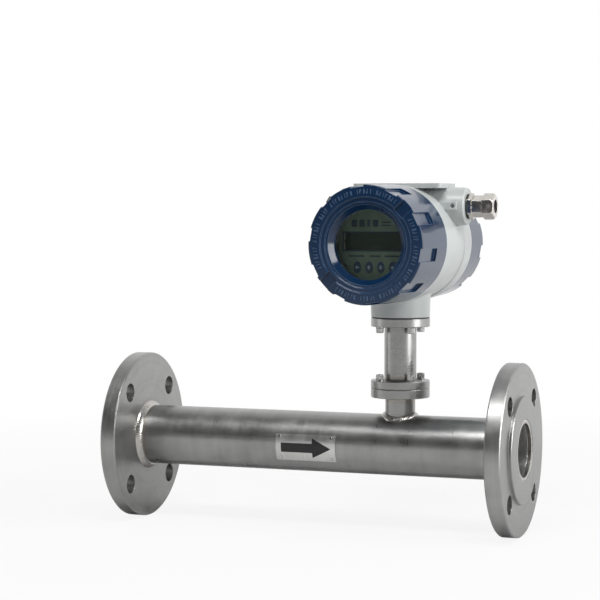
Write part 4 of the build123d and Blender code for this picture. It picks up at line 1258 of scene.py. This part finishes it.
@dataclass(frozen=True)
class Display:
    """The faceplate with its print, the liquid crystal cell and the four keys.

    Attributes:
        ink: Thickness of the print, in metres.
        sunk: Share of that thickness by which the print goes into its face.
        title: Place about the head's axis and size of each title bar: across, up, width, height, in metres.
        subtitle: The same for the line under the cell.
        window: Width and height of the cell's opening, in metres.
        window_rise: How far its middle lies above the head's axis, in metres.
        bezel: How far the dark border reaches round the cell's opening, in metres; the border is print and
            also painted shade along the opening's edge.
        sign: Size of a key's sign, in metres.
        arrow: The outline of an arrow that points up, across and up, in that size.
    """

    ink: float = 0.06 * MM
    sunk: float = 0.3
    title: tuple[tuple[float, float, float, float], ...] = (
        (-19.5 * MM, 19.0 * MM, 5.4 * MM, 6.6 * MM), (-12.2 * MM, 19.0 * MM, 5.4 * MM, 6.6 * MM),
        (-6.0 * MM, 19.0 * MM, 2.6 * MM, 6.6 * MM), (0.6 * MM, 19.0 * MM, 5.4 * MM, 6.6 * MM),
        (10.4 * MM, 17.2 * MM, 8.6 * MM, 1.2 * MM), (10.4 * MM, 20.0 * MM, 8.6 * MM, 1.2 * MM),
    )
    subtitle: tuple[tuple[float, float, float, float], ...] = (
        (-17.5 * MM, -10.4 * MM, 15.0 * MM, 1.5 * MM), (0.2 * MM, -10.4 * MM, 10.0 * MM, 1.5 * MM),
        (16.0 * MM, -10.4 * MM, 14.0 * MM, 1.5 * MM),
    )
    window: tuple[float, float] = (59.0 * MM, 15.4 * MM)
    window_rise: float = 2.7 * MM
    bezel: float = 1.3 * MM
    sign: float = 1.35 * MM
    arrow: tuple[tuple[float, float], ...] = (
        (0.0, 1.5), (1.3, 0.0), (0.5, 0.0), (0.5, -1.4), (-0.5, -1.4), (-0.5, 0.0), (-1.3, 0.0),
    )

    def spot(self, across: float, up: float, face: float) -> Vector:
        """Return a frame point by its place on the display, as its viewer sees it."""
        centre = Axle.HEAD.centre
        return Vector((centre.x + across, face, centre.z + up))

    def plate(self, skin: Skin, outline: Sequence[tuple[float, float]], face: float) -> None:
        """Print a flat outline, given across and up in metres, on a face that looks along -Y."""
        points = [self.spot(across, up, face + self.sunk * self.ink) for across, up in outline]
        skin.prism(points, Vector((0.0, -(1 + self.sunk) * self.ink, 0.0)))

    def rounded_bar(self, skin: Skin, place: tuple[float, float, float, float], face: float) -> None:
        """Print one bar with round corners."""
        across, up, width, height = place
        radius = 0.3 * min(width, height)
        outline = []
        for corner, (side, rise) in enumerate(((1, 1), (-1, 1), (-1, -1), (1, -1))):
            centre = across + side * (width / 2 - radius), up + rise * (height / 2 - radius)
            for angle in arc(corner * pi / 2, (corner + 1) * pi / 2, 4):
                outline.append((centre[0] + radius * cos(angle), centre[1] + radius * sin(angle)))
        self.plate(skin, outline, face)

    def border(self, navy: Material, face: float) -> None:
        """Print the dark border round the cell's opening, which is also painted shade along the opening's
        edge.
        """
        # Painted shade: the dark border is printed evenly all round and also stands for the shade along the
        # opening's edge.
        width, height = self.window
        rings = []
        corners = ((1, 1), (-1, 1), (-1, -1), (1, -1))
        for grow, rise in ((0.0, self.sunk), (0.0, -1.0), (self.bezel, -1.0), (self.bezel, self.sunk)):
            half, tall = width / 2 + grow, height / 2 + grow
            level = face + rise * self.ink
            rings.append([self.spot(x * half, z * tall + self.window_rise, level) for x, z in corners])
        Skin().loft(rings, looped=True).make("display_border", navy, "faceplate_film")

    def symbol(self, kind: KeySymbol, pale: Material) -> None:
        """Print one key's sign on its cap."""
        node = kind.value
        base = middle(node) - Axle.HEAD.centre
        if kind is KeySymbol.ENTER:
            outline = [(cos(angle), sin(angle)) for angle in round_angles(20)]
        else:
            turn = {KeySymbol.LEFT: pi / 2, KeySymbol.UP: 0.0, KeySymbol.DOWN: pi}[kind]
            outline = [(x * cos(turn) - z * sin(turn), x * sin(turn) + z * cos(turn)) for x, z in self.arrow]
        skin = Skin()
        self.plate(skin, [(base.x + self.sign * x, base.z + self.sign * z) for x, z in outline], low(node).y)
        skin.make(f"{node}_sign", pale, "key_plastic", body=node)

    def build(self) -> None:
        """Dress the display and print its signs."""
        film = Moulded("faceplate_green", (0.165, 0.215, 0.165), roughness=0.42, grain=0.25 * MM, gloss=0.25)
        cell = Moulded("lcd_green", (0.006, 0.030, 0.014), roughness=0.12, grain=0.6 * MM, depth=0.001 * MM,
                       gloss=0.6)
        navy = Moulded("print_navy", (0.012, 0.030, 0.055), roughness=0.45, depth=0.002 * MM).material()
        pale = Moulded("print_pale", (0.42, 0.50, 0.58), roughness=0.40, depth=0.002 * MM).material()
        dress(film, "faceplate")
        dress(cell, "lcd_panel")
        dress(Moulded("key_navy", (0.014, 0.040, 0.105), roughness=0.35, gloss=0.3),
              *(kind.value for kind in KeySymbol))
        face = low("faceplate").y
        skin = Skin()
        for place in self.title + self.subtitle:
            self.rounded_bar(skin, place, face)
        skin.make("faceplate_print", navy, "faceplate_film")
        self.border(navy, face)
        for kind in KeySymbol:
            self.symbol(kind, pale)


class Electronics:
    """The boards, their pillars and the terminals inside the head."""

    def build(self, metal: Material) -> None:
        """Dress what the two covers close in."""
        board = Moulded("solder_mask", (0.010, 0.085, 0.035), roughness=0.30, grain=0.8 * MM, gloss=0.5)
        pillar = BrightMetal("pillar_steel", (0.50, 0.49, 0.47), roughness=0.28)
        dress(board, "display_board", "main_board")
        dress(Moulded("terminal_green", (0.035, 0.19, 0.065), roughness=0.45), "terminal_block")
        dress(Moulded("switch_black", (0.02, 0.02, 0.022), roughness=0.4), "key_switches")
        dress(pillar, "lcd_frame", "faceplate_spacers", "upper_standoffs", "lower_standoffs")
        dress(metal, "display_screws", "terminal_screws", "block_screws", "earth_screw")


class Entries:
    """The cable gland in one conduit entry and the plug in the other."""

    def build(self, rubber: Material) -> None:
        """Dress the gland, its insert and the plug with their washers."""
        nickel = BrightMetal("bright_nickel", (0.72, 0.69, 0.65), roughness=0.10, edge=0.35 * MM)
        dress(nickel, "gland_body", "gland_nut")
        dress(rubber, "gland_insert", "gland_washer", "plug_washer")
        dress(Moulded("plug_grey", (0.06, 0.065, 0.07), roughness=0.42, gloss=0.1), "blanking_plug")


def main() -> None:
    """Build the meter's sub-assemblies in order and report each."""
    logging.basicConfig(level=logging.INFO, format="%(name)s: %(message)s")
    weld = WeldMetal("weld_metal").material()
    metal = BrightMetal("screw_metal", (0.46, 0.46, 0.455), roughness=0.22).material()
    bare = BrightMetal("bare_aluminium", (0.52, 0.53, 0.54), roughness=0.3).material()
    rubber = Moulded("nitrile_black", (0.018, 0.018, 0.019), roughness=0.6).material()
    steps: list[tuple[str, Callable[[], None]]] = [
        ("studio", Studio().build),
        ("flow line", lambda: FlowLine().build(weld)),
        ("flow arrow", FlowArrow().build),
        ("neck", lambda: Neck().build(weld, metal, rubber)),
        ("probe", Probe().build),
        ("housing", lambda: Housing().build(metal, bare)),
        ("covers", lambda: Covers().build(rubber, bare)),
        ("window", lambda: Window().build(rubber)),
        ("display", Display().build),
        ("electronics", lambda: Electronics().build(metal)),
        ("entries", lambda: Entries().build(rubber)),
    ]
    for name, build in steps:
        build()
        log.info("%s is built", name)


if __name__ == "__main__":
    main()
